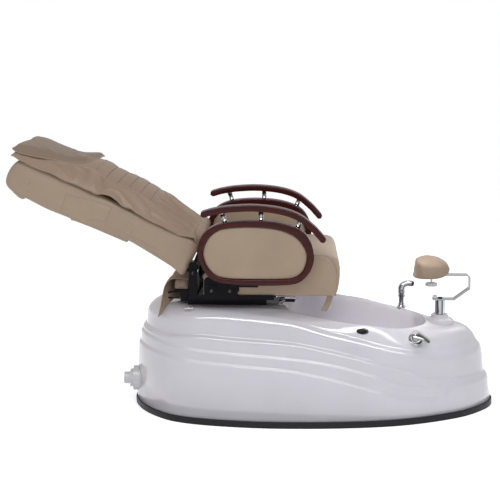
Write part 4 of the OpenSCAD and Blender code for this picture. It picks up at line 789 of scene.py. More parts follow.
# Arms: a wooden ring round a padded panel, and a rail on three posts
ARM_IN, ARM_OUT = box_mm("arm_ring_far")[:, 1]
ARM_MID = (ARM_IN + ARM_OUT) / 2
RING_L, RING_H = 442.0, 250.0
RING_AT = np.array([box_mm("arm_ring_near")[0, 0] + RING_L / 2, box_mm("arm_ring_near")[1, 2] - RING_H / 2])
RING_N = 220
WOOD_EDGE = 5
RAIL_HALF = 12
ring_outside = [
    [-0.5, 0.018], [-0.475, 0.2], [-0.43, 0.32], [-0.346, 0.42], [-0.217, 0.48], [-0.005, 0.5],
    [0.208, 0.464], [0.378, 0.36], [0.464, 0.193], [0.5, -0.034], [0.484, -0.217], [0.425, -0.38],
    [0.339, -0.472], [0.167, -0.5], [-0.133, -0.496], [-0.348, -0.436], [-0.45, -0.261]]
ring_inside = [
    [-0.45, 0.034], [-0.414, 0.2], [-0.353, 0.31], [-0.26, 0.376], [-0.048, 0.4], [0.15, 0.376],
    [0.27, 0.32], [0.36, 0.226], [0.425, 0.066], [0.442, -0.08], [0.42, -0.24], [0.385, -0.325],
    [0.33, -0.38], [0.24, -0.405], [-0.048, -0.41], [-0.23, -0.402], [-0.315, -0.376], [-0.37, -0.32],
    [-0.42, -0.21], [-0.448, -0.08]]
rail_line = [
    (-438, 813), (-424, 818.5), (-386, 829), (-324, 838.5), (-234, 842), (-140.5, 832), (-69, 808),
    (-17, 768), (8, 742), (32, 714)]
# The panel: the share of the way to the ring's inside, and half its thickness there
panel_dome = [
    (0.0, 20.8), (0.2, 20.7), (0.4, 20.5), (0.6, 20.2), (0.75, 19.8), (0.86, 19.2), (0.93, 18.3),
    (0.965, 17.3), (0.985, 16), (0.994, 14.2), (1.0, 11), (1.0, 4)]
PANEL_FIT = 0.998
post_lines = [((-345, 782), (-358, 824)), ((-210, 788), (-210, 834)), ((-74, 762), (-58, 804))]
# A post's collar at its foot: height above the foot, and radius
post_collar = [(0, 12.2), (1.5, 12.8), (5, 12.8), (6.5, 12), (7, 9.6)]


def round_the_ring(shares):
    """A ring's outline at even angles about its centre."""
    p = curve(np.array(shares) * [RING_L, RING_H], 10)
    a, r = np.arctan2(p[:, 1], p[:, 0]), np.hypot(p[:, 0], p[:, 1])
    order = np.argsort(a)
    a, r = a[order], r[order]
    th = np.linspace(-math.pi, math.pi, RING_N, endpoint=False)
    r = np.interp(th, np.concatenate([a - 2 * math.pi, a, a + 2 * math.pi]), np.tile(r, 3))
    return RING_AT + r[:, None] * points(np.cos(th), np.sin(th))


def wooden_bar(name, outer, inner, s, body, **how):
    """A bar of wood with rounded edges, between two lines (x, z) over the arm's width."""
    a, b = s * ARM_IN, s * ARM_OUT
    mid = (outer + inner) / 2
    section = [at_y(mid, a), at_y(outer, a), at_y(outer, b), at_y(inner, b), at_y(inner, a), at_y(mid, a)]
    rings = rounded(section, [0] + [WOOD_EDGE] * 4 + [0], 4)
    return skin(name, rings, body, "mahogany", "mahogany", **how)


def arm_ring(side, s, body):
    outer, inner = round_the_ring(ring_outside), round_the_ring(ring_inside)
    ring = wooden_bar(f"arm_ring_wood_{side}", outer, inner, s, body, wrap_cols=True, flip=s > 0)
    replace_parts(ring, f"arm_ring_{side}")


def arm_rail(side, s, body):
    """A flat bar along the rail's line, with round ends."""
    c = path(rail_line, 12, 90)
    t = unit(np.gradient(c, axis=0))
    k = np.arange(len(c))
    from_end = np.minimum(k, k[::-1]) * np.linalg.norm(c[1] - c[0])
    half = RAIL_HALF * np.sqrt(1 - np.clip(1 - from_end / RAIL_HALF, 0, 1) ** 2)[:, None] + 0.05
    out = points(-t[:, 1], t[:, 0]) * half
    rail = wooden_bar(f"arm_rail_wood_{side}", c + out, c - out, s, body, flip=s < 0)
    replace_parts(rail, f"arm_rail_{side}")


def arm_panel(side, s, body):
    mid = s * ARM_MID
    inner = round_the_ring(ring_inside)
    rows = [at_y(RING_AT + (inner - RING_AT) * f * PANEL_FIT, mid + d) for f, d in panel_dome]
    rows += [p * [1, -1, 1] + [0, 2 * mid, 0] for p in rows[::-1]]
    g = np.array(rows)
    g[..., 1] += (g[..., 1] - mid) / 15 * 0.7 * ripple(g, 0.012, 3.0 + s)
    pad = skin(f"arm_panel_{side}", g, body, "leather", "leather", wrap_cols=True, flip=True)
    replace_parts(pad, f"arm_pad_{side}")


def arm_posts(side, s, body):
    """Three chrome posts with a collar at each end."""
    for k, line in enumerate(post_lines):
        foot, head = at_y(np.array(line, float), s * ARM_MID)
        n = np.linalg.norm(head - foot)
        profile = post_collar + [(n - h, r) for h, r in post_collar[::-1]]
        h, r = np.array(profile).T
        pts = foot + np.outer(h, head - foot) / n
        post = tube(f"arm_post_{side}_{k}", pts, r, body, "chrome", "chrome", sides=30)
        if k == 0:
            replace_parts(post, f"arm_posts_{side}")


for side, s in SIDES:
    for make in (arm_ring, arm_rail, arm_panel, arm_posts):
        make(side, s, "arm_" + side)

# Seat
SEAT_HALF = box_mm("seat_cushion")[1, 1]
SEAT_MIDDLE = np.array([-150, 0, 590.0])
seat_side = [
    (-426, 492), (-433, 498), (-434, 520), (-433, 552), (-424, 569), (-340, 573), (-318, 580), (-302, 610),
    (-298, 634), (-286, 640), (-258, 645), (-141, 649), (-19, 652), (20, 653), (46, 651), (70, 645),
    (84, 632), (91, 614), (93, 592), (93, 570), (90, 540), (85, 514), (77, 498), (66, 491), (20, 491),
    (-140, 491), (-300, 491)]
seat_seam = [
    (-60, 636), (-30, 643), (-8, 647), (16, 648), (36, 645), (54, 634), (67, 618), (76, 600), (80, 580),
    (82, 560), (82, 541), (78, 520), (72, 500)]
SEAT_CAP = (
    1, 0.93, 0.86, 0.79, 0.72, 0.65, 0.58, 0.52, 0.46, 0.41, 0.36, 0.32, 0.28, 0.24, 0.21, 0.18, 0.155,
    0.13, 0.11, 0.09)
SEAM_DEEP, SEAM_W, STITCH_IN = 4.5, 3.4, 5.5
# The stretch of the seam that has stitches inside it
STITCHED = slice(24, 88)


def make_seat():
    """A cushion whose side panels are sewn in along a seam round the front."""
    g = pillow(loop(seat_side, 10, 320), SEAT_HALF, 13, SEAT_CAP, spine=(0.2, 0.86),
               mid=lambda x: 540 + 40 * smooth((x + 320) / 60), rows=44, crown=2, crown_from=600, arc=9)
    seam = curve(seat_seam, 8, closed=False)
    on_side = smooth((np.abs(g[..., 1]) - 225) / 12)
    from_seam = near_line(g[..., [0, 2]], seam)[0]
    g[..., 1] -= np.sign(g[..., 1]) * SEAM_DEEP * bell(from_seam, SEAM_W) * on_side
    swell = ripple(g, 0.011, 5.0) * 2.0 + ripple(g, 0.03, 1.0) * 0.7
    g += (swell * (1 - 0.6 * on_side))[..., None] * unit(g - SEAT_MIDDLE)
    seat = skin("seat_leather", g, "carriage", "leather", "leather", wrap_cols=True, flip=True)
    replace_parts(seat, "seat_cushion")
    line = even(seam[STITCHED], 200, closed=False)
    inner = unit(np.array([10.0, 560.0]) - line) * STITCH_IN + line
    for side, s in SIDES:
        y = wall_y(g, inner, s, 232)
        stitches(f"seat_stitch_{side}_0", at_y(inner, y), "carriage", length=8, gap=5, r=1.7,
                 normal=(0, s, 0), lift=0.9)


make_seat()

# Backrest, in its own frame: u up from the hinge, w across, v out from its rear
BACK = math.radians(25.4)
HINGE_X, _, HINGE_Z = joint_mm("recline")


def on_back(p):
    """Points (u, w, v) of the backrest, in the row frame."""
    u, w, v = np.moveaxis(np.asarray(p, float), -1, 0)
    c, s = math.cos(BACK), math.sin(BACK)
    return points(HINGE_X - u * c + v * s, w, HINGE_Z + u * s + v * c)


def back_skin(name, grid, mat, **how):
    """A leather piece of the backrest over a grid of (u, w, v)."""
    return skin(name, on_back(grid), "backrest", mat, "leather", **how)


# Backrest box
box_side = [
    (24, 30), (22, 62), (24, 92), (34, 110), (56, 118), (120, 119), (400, 119), (640, 119), (740, 118),
    (774, 112), (792, 92), (802, 62), (804, 34), (799, 8), (786, -8), (762, -18), (740, -26), (724, -30),
    (709, -28), (704, -20), (613, -23), (522, -18), (508, -24), (500, -20), (438, -15), (370, -12),
    (290, -9), (279, -5), (271, 1), (180, -8), (89, -19), (48, -30), (33, -31), (26, -14)]
BOX_HALF = 250
BOX_CAP = (1, 0.92, 0.84, 0.76, 0.68, 0.6, 0.53, 0.46, 0.4, 0.34, 0.29, 0.24, 0.2)
# Folds at the side: line, height
box_folds = [
    ([(456, 0), (446, 18), (425, 33), (405, 39), (387, 39)], 2.6),
    ([(452, -6), (438, 10), (418, 22), (392, 28)], -2.2)]
panel_seams = [
    [(565, 65), (476, 85), (387, 98)], [(565, 65), (562, 30), (559, -2)], [(387, 98), (387, 60), (387, 36)]]


def make_back_box():
    """The box is upholstered like a cushion, with slack sides and the seams of a panel on each."""
    g = pillow(loop(box_side, 8, 420), BOX_HALF, 30, BOX_CAP, dome=2.5, spine=(0.12, 0.88), mid=48, rows=24,
               arc=11, blur=9)
    foot = smooth((60 - g[..., 0]) / 60) ** 2 * smooth((np.abs(g[..., 1]) - 200) / 40)
    g[..., 1] -= np.sign(g[..., 1]) * 9 * foot
    slack = ripple(g, 0.008, 11.0) * 2.2 + ripple(g, 0.022, 4.0) * 0.8
    g[..., 1] += np.sign(g[..., 1]) * slack * smooth((np.abs(g[..., 1]) - 215) / 25)
    for line, lift in box_folds:
        fold = lift * ridge(g[..., [0, 2]], line, 5) * smooth((np.abs(g[..., 1]) - 240) / 8)
        g[..., 1] += np.sign(g[..., 1]) * fold
    box = back_skin("back_box_leather", g, "leather", wrap_cols=True, flip=True)
    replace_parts(box, "back_box")
    for side, s in SIDES:
        for k, line in enumerate(panel_seams):
            p = path(line, 6, 40)
            y = wall_y(g, p, s, 225) + s * 0.1
            piping(f"box_panel_seam_{side}_{k}", on_back(at_y(p, y)), 0.8, sides=6)
    return box


back_box = make_back_box()

# Backrest cover: a quilted middle strip, and sides that hang to a hem
cover_middle = [
    (40, 146), (57, 151), (72, 157), (120, 166), (171, 174), (241, 189), (303, 194), (349, 198),
    (399, 196), (445, 196), (491, 202), (525, 197), (560, 186), (600, 173), (650, 160), (720, 147),
    (780, 137), (812, 130), (832, 124)]
cover_edge = [
    (40, 130), (120, 141), (171, 147), (241, 158), (272, 164), (318, 170), (365, 171), (412, 170),
    (462, 171), (511, 179), (560, 171), (620, 157), (700, 142), (780, 130), (832, 122)]
cover_hem = [
    (40, 131), (67, 124), (114, 114), (144, 116), (231, 116), (291, 121), (348, 121), (381, 131),
    (410, 137), (435, 133), (455, 122), (470, 118), (519, 118), (586, 114), (645, 117), (715, 110),
    (779, 112), (812, 119), (832, 122)]
CHANNELS = (272, 318, 365, 412, 462, 511)
CHANNEL_LEAN = 0.05
STRIP = 146.0
HEM_W = 258.5
COVER_T = 3.2
COVER_U = (42, 813)
# The stitches run inside the side hems, and end before the corners
STITCH_COL, STITCH_END = 3, 8
# Folds of the near side in (u, w): line, width, height. The far side has them mirrored, with a change
creases = [
    ([(563, -134), (502, -140), (459, -156), (412, -172), (358, -166), (290, -196), (247, -228), (174,
        -232), (81, -228)], 8, -5.0),
    ([(520, -150), (470, -176), (420, -196), (360, -196), (300, -222), (240, -248)], 13, 5.0),
    ([(543, -160), (520, -190), (503, -212), (486, -240), (476, -262)], 15, 4.5),
    ([(500, -150), (470, -190), (446, -230), (436, -262)], 11, -4.0),
    ([(460, -262), (436, -240), (396, -228), (343, -246), (295, -262)], 9, 4.5),
    ([(290, -180), (245, -190), (176, -196), (101, -196), (60, -200)], 9, 4.0),
    ([(268, -146), (230, -160), (168, -168), (100, -168), (56, -172)], 7, -4.0),
    ([(260, -128), (210, -124), (168, -120), (110, -122), (59, -124)], 9, 3.6),
    ([(258, -96), (200, -92), (140, -96), (62, -100)], 7, -3.4),
    ([(252, -30), (210, -46), (166, -58), (110, -68), (60, -76)], 10, 3.6),
    ([(248, 10), (190, -10), (120, -24), (60, -30)], 8, -2.8),
    ([(246, 60), (190, 52), (120, 50), (62, 48)], 11, 3.0),
    ([(771, -222), (740, -200), (706, -188), (660, -200), (621, -212), (577, -206)], 8, -3.6),
    ([(800, -240), (740, -226), (680, -228), (620, -240), (560, -250)], 11, 3.4),
    ([(700, -196), (660, -216), (630, -240), (615, -262)], 10, 3.0),
    ([(620, -160), (585, -190), (560, -226), (552, -262)], 13, 3.4),
    ([(600, -146), (560, -170), (530, -200), (520, -250)], 9, -3.2),
    ([(240, -230), (200, -246), (150, -256), (90, -262)], 8, -2.6)]


def cover_v(u, w):
    """Height of the cover over the backrest, without its channels and folds."""
    m, e, h = pchip(cover_middle, u), pchip(cover_edge, u), pchip(cover_hem, u)
    a = np.abs(w)
    t = np.clip((a - STRIP) / (HEM_W - STRIP), 0, 1)
    top = e + (m - e) * (1 - np.clip(a / STRIP, 0, 1) ** 2.2)
    side = h + (e - h) * (1 - t ** 2.1) ** 0.9
    return np.where(a < STRIP, top, side)


def quilting(u, w):
    """The strip's channels: stitched grooves, and a swell between each two."""
    a = np.abs(w)
    v = np.zeros_like(u)
    lean = (w + STRIP) * CHANNEL_LEAN
    for c in CHANNELS:
        v -= 3.6 * bell(u + lean - c, 1.8) * smooth((STRIP + 3 - a) / 8)
    for c0, c1 in zip(CHANNELS[:-1], CHANNELS[1:]):
        s = np.clip((u + lean - c0) / (c1 - c0), 0, 1)
        v += 2.4 * (4 * s * (1 - s)) ** 0.6 * smooth((STRIP - 2 - a) / 30)
    return v


def make_cover():
    """The loose cover. Returns its grid and the places of its rows and columns."""
    side, shoulder = np.linspace(HEM_W, 225, 24)[:-1], np.linspace(225, STRIP, 34)[:-1]
    half = np.concatenate([side, shoulder])
    cols = np.concatenate([-half, np.linspace(-STRIP, STRIP, 90), half[::-1]])
    rows = np.linspace(*COVER_U, 330)
    u, w = np.meshgrid(rows, cols, indexing="ij")
    a = np.abs(w)
    v = cover_v(u, w) + quilting(u, w)
    quilted = smooth((u - 262) / 12) * smooth((524 - u) / 12)
    v -= 3.4 * bell(a - STRIP, 3.0) * quilted
    uw = points(u, w)
    for k, (line, width, high) in enumerate(creases):
        v += 1.6 * high * ridge(uw, line, width * 0.8)
        v += high * ridge(uw, [(p + 14 * math.sin(k * 2.3), -q) for p, q in line], width)
    base = points(u, w, v)
    slack = np.clip(smooth((a - STRIP + 10) / 30) + (1 - quilted) * 0.7, 0, 1)
    v += ripple(base, 0.012, 2.0) * 2.6 * slack + ripple(base, 0.03, 6.0) * 0.9
    flare = 5 * bell(u - 640, 60) + 6 * bell(u - 410, 34) + 2 * ripple(base, 0.01, 9.0)
    flare = np.minimum(flare, 4) * smooth((a - 238) / 20) * smooth((u - 150) / 60)
    w = w * (1 - 0.026 * smooth((170 - u) / 60)) + np.sign(w) * flare
    # The lower end turns under, and the head end rolls down over the box
    v -= 14 * smooth((56 - u) / 16) ** 1.5 + 4 * smooth((u - 800) / 13) ** 2
    grid = points(u, w, v)
    cover = back_skin("back_cover_leather", grid, "leather_soft_shaded", flip=True)
    solid(cover, COVER_T)
    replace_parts(cover, "back_cover")
    return grid, rows, cols


def trim_cover(grid, rows, cols):
    """Rolled hems, a row of stitches inside each side hem, and welts in the channels."""
    for side, s in SIDES:
        from_hem = grid if s < 0 else grid[:, ::-1]
        hem, stitched = from_hem[:, 0], from_hem[STITCH_END:-STITCH_END, STITCH_COL]
        piping(f"cover_hem_{side}", on_back(even(hem + [0, s * 0.8, 0], 260, closed=False)), 2.4)
        line = on_back(even(stitched, 400, closed=False))
        stitches(f"cover_hem_stitch_{side}", line, "backrest", length=5, gap=3.4, r=0.5,
                 normal=(0, s, 0), lift=0.7)
    for name, row in (("foot", 0), ("head", -1)):
        piping(f"cover_hem_{name}", on_back(even(grid[row], 140, closed=False)), 2.4)
    for k, c in enumerate(CHANNELS):
        w = np.linspace(-STRIP + 3, STRIP - 3, 80)
        u = c - (w + STRIP) * CHANNEL_LEAN
        v = [grid[np.argmin(np.abs(rows - p)), np.argmin(np.abs(cols - q)), 2] + 0.6 for p, q in zip(u, w)]
        piping(f"channel_welt_{k}", on_back(points(u, w, v)), 1.5, mat="leather", sides=6)


trim_cover(*make_cover())

# Head flap: a padded flap folded over the top of the cover
flap_outline = [
    (829, -150), (829, 0), (829, 150), (828, 200), (812, 219), (790, 216), (706, 196), (612, 176),
    (562, 166), (538, 156), (529, 130), (531, 90), (537, 40), (543, 0), (549, -45), (560, -88),
    (580, -114), (612, -134), (650, -152), (706, -182), (790, -216), (814, -221), (828, -205)]
flap_thick = [
    (516, 8), (545, 12), (580, 14), (610, 12), (640, 13), (672, 17), (720, 21), (776, 24), (806, 21),
    (831, 14)]
flap_folds = [
    ([(650, 110), (640, 50), (622, -20), (600, -70), (584, -108)], 9, 4.5),
    ([(676, 60), (668, 0), (650, -60), (640, -120)], 8, -3.0),
    ([(760, -60), (730, -90), (700, -130), (690, -170)], 12, 3.0),
    ([(740, -20), (705, -60), (672, -110), (660, -150)], 8, -2.6),
    ([(800, -120), (760, -150), (730, -180)], 9, 2.4)]
FLAP_ROWS = (0, 0.8, 2.5, 5, 9, 14, 20, 27, 36, 48, 62, 80, 104, 134, 170, 215)
FLAP_OVER = 4.5
FLAP_EDGE = 2.2


def make_flap():
    outline = loop(flap_outline, 10, 300)
    away = points(np.clip(outline[:, 0], 590, 790), 0) - outline
    reach = np.linalg.norm(away, axis=1, keepdims=True)
    top, under = [], []
    for d in FLAP_ROWS:
        q = outline + unit(away) * np.minimum(d, reach)
        u, w = q.T
        lifted_corner = 16 * np.exp(-(((u - 530) / 40) ** 2 + ((w - 135) / 60) ** 2))
        base = cover_v(u, w) + FLAP_OVER + lifted_corner + 3.5 * smooth((u - 800) / 30)
        rise = pchip(flap_thick, u) * smooth(np.minimum(d, reach[:, 0]) / 46) ** 0.8
        puff = FLAP_EDGE * math.sin(min(d / 9, 1) * math.pi / 2)
        top.append(points(u, w, base + rise + puff))
        under.append(points(u, w, base - puff * 0.6))
    g = np.array(top[::-1] + under[1:])
    n = len(top)
    for line, width, high in flap_folds:
        g[:n, :, 2] += high * ridge(g[:n, :, :2], line, width)
    g[:n - 2, :, 2] += ripple(g[:n - 2], 0.014, 21.0) * 2.2
    flap = back_skin("head_flap_leather", g, "leather_flap_shaded", wrap_cols=True)
    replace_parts(flap, "head_flap")
    piping("head_flap_welt", on_back(top[0]), 2.6, closed=True)


make_flap()

# Lumbar pad: a roll across the foot of the cover, puckered along its front
LUMBAR_HALF = 238
LUMBAR_END = 16
LUMBAR_AT = np.array([40, 108])
lumbar_section = [
    (60, 98), (46, 90), (30, 78), (21, 84), (16, 102), (18, 120), (28, 133), (44, 137), (60, 132)]


def make_lumbar():
    section = loop(lumbar_section, 8, 60)
    rows = []
    for w in np.linspace(-LUMBAR_HALF, LUMBAR_HALF, 160):
        end = min((LUMBAR_HALF - abs(w)) / LUMBAR_END, 1)
        x, z = (LUMBAR_AT + (section - LUMBAR_AT) * max(math.sqrt(1 - (1 - end) ** 2), 0.02)).T
        crown = 16 * (1 - (w / LUMBAR_HALF) ** 2) * smooth((z - 90) / 40)
        rows.append(points(x, w, z + crown))
    g = np.array(rows)
    pucker = np.sin(g[..., 1] / 7.0 + 2.2 * np.sin(g[..., 1] / 37.0)) * smooth((44 - g[..., 0]) / 24)
    g[..., 0] -= 1.5 * pucker
    g[..., 2] += ripple(g, 0.02, 3.0) * 1.6
    lumbar = back_skin("lumbar_leather", g, "leather_soft_shaded", wrap_cols=True)
    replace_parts(lumbar, "lumbar_pad")


make_lumbar()

# Foot pad: heights of its underside, seam and top along its length
FOOT_X = joint_mm("pad_screw_turn")[0]
FOOT_FRONT, FOOT_REAR, FOOT_HALF = 70, 78, 74
FOOT_ROUND = 2.7
foot_under = [(392, 529), (396, 525), (412, 523), (443, 524), (474, 525), (505, 530), (532, 543), (542, 556)]
foot_seam = [(392, 546), (399, 552), (411, 564), (442, 573), (479, 574), (510, 567), (530, 558), (542, 561)]
foot_top = [
    (396, 560), (402, 575), (410, 590), (424, 600), (455, 607), (486, 603), (518, 589), (535, 575),
    (544, 564)]
# Rows up to the seam: the share of the plan, and of the height from the underside to the seam
foot_lower_rows = [
    (0, 0), (0.5, 0), (0.8, 0), (0.93, 0), (0.975, 0.04), (0.995, 0.14), (1.003, 0.3), (1.006, 0.5),
    (1.004, 0.7), (0.998, 0.86), (0.988, 0.95), (0.976, 1.0)]
foot_upper_rows = (0.972, 0.96, 0.94, 0.91, 0.87, 0.82, 0.76, 0.68, 0.58, 0.45, 0.3, 0.15, 0.0)
SEAM_F = 0.976


def make_foot_pad():
    th = np.linspace(-math.pi, math.pi, 240, endpoint=False)
    c, s = np.cos(th), np.sin(th)
    along = np.where(c > 0, FOOT_FRONT, FOOT_REAR)
    rad = ((np.abs(c) / along) ** FOOT_ROUND + (np.abs(s) / FOOT_HALF) ** FOOT_ROUND) ** (-1 / FOOT_ROUND)
    toward_chair = smooth((-c - 0.55) / 0.4)

    def plan_of(f, pull):
        r = rad * f * (1 - pull * toward_chair)
        return FOOT_X + r * c, r * s

    rows = []
    for f, k in foot_lower_rows:
        x, y = plan_of(f, 0.1 * math.sin(math.pi * 0.5 * min(k / 0.6, 1)))
        low, seam = pchip(foot_under, x), pchip(foot_seam, x)
        rows.append(points(x, y, low + (seam - low) * k))
    for f in foot_upper_rows:
        x, y = plan_of(f, 0.1 - 0.035 * min((SEAM_F - f) / 0.15, 1))
        seam, top = pchip(foot_seam, x), pchip(foot_top, x)
        full = (1 - np.clip(np.abs(y) / FOOT_HALF, 0, 1) ** 2.3) ** 0.75 * min((SEAM_F - f) / 0.06, 1) ** 0.5
        rows.append(points(x, y, seam + (top - seam) * full))
    g = np.array(rows)
    g[5:, :, 2] += ripple(g[5:], 0.016, 31.0) * 0.9
    pad = skin("foot_pad_leather", g, "pad", "leather_pad_shaded", "leather", wrap_cols=True)
    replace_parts(pad, "foot_pad")
    seam = g[len(foot_lower_rows) - 1] + [0, 0, 0.3]
    piping("foot_pad_seam", seam, 1.1, body="pad", sides=6, closed=True)


make_foot_pad()

# Rear skirt: hung from the seat frame, its near corner drawn down over the tub's shoulder
SKIRT_HALF = box_mm("rear_skirt")[1, 1]
SKIRT_T = 2.2
SKIRT_OVER_DECK = 2.4
# The first row that may reach the deck
LOW_ROW = 40
CORNER_PULL = np.array([-4.0, -9.0, -50.0])
skirt_line = [
    (-496, 543), (-520, 546), (-548, 547), (-572, 541), (-588, 520), (-598, 494), (-605, 468), (-613, 446)]


def make_skirt():
    line = path(skirt_line, 8, 70)
    ys = np.linspace(-SKIRT_HALF, SKIRT_HALF, 110)
    down = np.linspace(0, 1, len(line))
    rows = []
    for k, ((x, z), f) in enumerate(zip(line, down)):
        t = unit(line[min(k + 1, len(line) - 1)] - line[max(k - 1, 0)])
        sway = smooth((f - 0.3) / 0.7)
        wave = 6 * sway * np.sin(ys / SKIRT_HALF * math.pi * 1.6 + 0.8) + 2.6 * f * np.sin(ys / 17.0 + 3 * f)
        forward = 104 * sway * smooth((ys + 196) / 170)
        rows.append(points(x - t[1] * wave + forward, ys, z + t[0] * wave))
    g = np.array(rows)
    corner = np.outer(np.clip((down - 0.62) / 0.38, 0, 1) ** 1.2, smooth((-105 - ys) / 75))
    g += corner[..., None] * CORNER_PULL
    x, y, z = np.moveaxis(g[LOW_ROW:], -1, 0)
    g[LOW_ROW:, :, 2] = np.maximum(z, deck_z(x, y) + SKIRT_OVER_DECK)
    skirt = skin("rear_skirt_leather", g, "carriage", "leather", "leather")
    solid(skirt, SKIRT_T, 0)
    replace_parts(skirt, "rear_skirt")
    for name, edge in (("near", g[:, 0]), ("far", g[:, -1]), ("foot", g[-1])):
        piping(f"skirt_edge_{name}", even(edge, 80, closed=False), 1.9, body="carriage")


make_skirt()

# Rear pad
rear_pad_side = [
    (-548, 498), (-552, 505), (-552, 526), (-546, 537), (-537, 539), (-512, 539), (-503, 535), (-500, 526),
    (-500, 502), (-504, 497), (-525, 497)]
REAR_PAD_CAP = (1, 0.85, 0.7, 0.55, 0.42, 0.3, 0.2)


def make_rear_pad():
    g = pillow(loop(rear_pad_side, 8, 120), box_mm("rear_pad")[1, 1], 9, REAR_PAD_CAP, rows=30, crown=2,
               crown_from=520)
    g += ripple(g, 0.03, 17.0)[..., None] * np.array([0.8, 0, 0.8])
    pad = skin("rear_pad_leather", g, "carriage", "leather_dark", "leather", wrap_cols=True, flip=True)
    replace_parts(pad, "rear_pad")


make_rear_pad()

# Front tab: a leather strap under the cushion's near front corner
TAB_Y = -203.5
TAB_T = 2.4
TAB_HALF = 12.5
tab_line = [(46, 493.5), (53, 492), (56, 484), (52, 466), (44, 446), (33, 424)]


def make_tab():
    rows = []
    line = path(tab_line, 8, 50)
    for (x, z), f in zip(line, np.linspace(0, 1, len(line))):
        w = TAB_HALF - 2 * f
        bow = 1.5 * np.sin(np.linspace(0, 3, 9) + 4 * f)
        rows.append(points(x + np.linspace(-w, w, 9), TAB_Y + bow, z + np.linspace(1, -1, 9) * 2 * f))
    tab = skin("front_tab_leather", rows, "carriage", "leather", "leather")
    solid(tab, TAB_T, 0)
    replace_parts(tab, "front_tab")


make_tab()

# Mixer: a chrome cap in a ring on the rim, with one lever
MIXER_AT = joint_mm("mixer_turn")
MIXER_AXES = basis(40, -80)
LEVER_YAW = math.radians(60)
mixer_cap = [
    (0, 7.2), (17, 7.2), (21.6, 7.8), (22.4, 11), (22, 17), (20.4, 23), (16.5, 27), (10, 29), (0, 29.5)]
mixer_ring = [(23, 2), (23, 7.4), (24.5, 9), (27, 8.8), (28.6, 7.2), (29, 4), (29, -3)]
# The lever: distance out, height, half width, half thickness
lever_rows = [
    (-20.5, 31, 2, 0.8), (-20, 31, 10, 2.4), (-16, 31.8, 15, 3.6), (-8, 33, 18, 4.6), (0, 33.6, 18.6, 5),
    (10, 33.6, 17.4, 5), (20, 32.6, 15.4, 4.6), (30, 30.8, 13.6, 4), (40, 28.6, 12.4, 3.4),
    (48, 26.4, 11.4, 3), (54, 24.6, 9.4, 2.4), (57.5, 23.8, 4.6, 1.6), (58.5, 23.6, 1, 0.6)]


def make_mixer():
    cap = turned("mixer_cap", path(mixer_cap, 6, 44), MIXER_AT, MIXER_AXES, "mixer", "chrome", "chrome")
    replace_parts(cap, "mixer_body")
    turned("mixer_ring", curve(mixer_ring, 6, closed=False), MIXER_AT, MIXER_AXES, "tub", "chrome", "chrome")
    x, y, z = MIXER_AXES
    out = x * math.cos(LEVER_YAW) + y * math.sin(LEVER_YAW)
    side = -x * math.sin(LEVER_YAW) + y * math.cos(LEVER_YAW)
    a = np.linspace(0, 2 * math.pi, 32, endpoint=False)
    rows = [MIXER_AT + out * d + np.outer(power(np.cos(a), 0.8) * w, side) + np.outer(np.sin(a) * t + up, z)
            for d, up, w, t in lever_rows]
    lever = skin("mixer_lever_form", rows, "lever", "chrome", "chrome", wrap_cols=True, flip=True)
    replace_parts(lever, "mixer_lever")


make_mixer()

# Air button: an oval cap in a ring on the rim
BUTTON_AT = np.array([TUB_L * 0.1214, 111 - TUB_W / 2, TUB_H * 0.81364])
BUTTON_AXES = basis(59, -83)
BUTTON_HALF = (13.5, 28)
# Name, body, node, and rows of (share of the oval, height)
button_parts = [
    ("button_ring", "tub", "button_bezel", [(1.0, -5), (1.0, 0.9), (0.98, 1.7), (0.93, 2.2), (0.88, 2.0),
        (0.84, 0.6), (0.84, -2)]),
    ("button_cap", "button", "air_button", [(0.8, -2), (0.8, 2.4), (0.76, 3.4), (0.66, 4.1), (0.4, 4.6),
        (0.02, 4.8)])]


def make_button():
    a = np.linspace(0, 2 * math.pi, 96, endpoint=False)
    oval = (np.outer(power(np.cos(a), 0.9) * BUTTON_HALF[0], BUTTON_AXES[0])
            + np.outer(power(np.sin(a), 0.9) * BUTTON_HALF[1], BUTTON_AXES[1]))
    for name, body, node, profile in button_parts:
        rows = [BUTTON_AT + oval * k + BUTTON_AXES[2] * h for k, h in profile]
        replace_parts(skin(name, rows, body, "black_plastic", SLOT[node], wrap_cols=True), node)


make_button()

# Spray: a bent chrome head with three bands, which stands in a flange on the rim
UPRIGHT = np.eye(3)
SPRAY_X, SPRAY_Y, SPRAY_Z = 371, 186, 348
spray_line = [
    (371, 346), (371, 366), (371, 388), (371, 408), (370, 424), (372, 438), (379, 447), (389, 452),
    (399, 453.5), (410, 452.5)]
# Radius by height up the handle, then by distance out along the head
spray_handle = [
    (340, 11.5), (356, 11.5), (364, 12.5), (374, 11.2), (386, 11.6), (398, 13), (412, 14.6), (430, 15.4),
    (444, 14.4), (453, 12.4)]
spray_head = [(385, 13.0), (396, 12.4), (410, 13)]
spray_face = [(410, 452.6, 12.6), (413, 452.4, 12.8), (416.5, 452.2, 11.6)]
# Bands: height, radius and metal
spray_bands = [(368, 13.2, "chrome"), (400, 14.6, "dark_chrome"), (418, 16, "chrome")]
spray_flange = [
    (11.8, -12), (17, -12), (17, 2), (19.5, 3), (19.8, 5), (18.8, 6.6), (15.5, 8), (14, 10), (13.2, 14),
    (11.8, 14)]


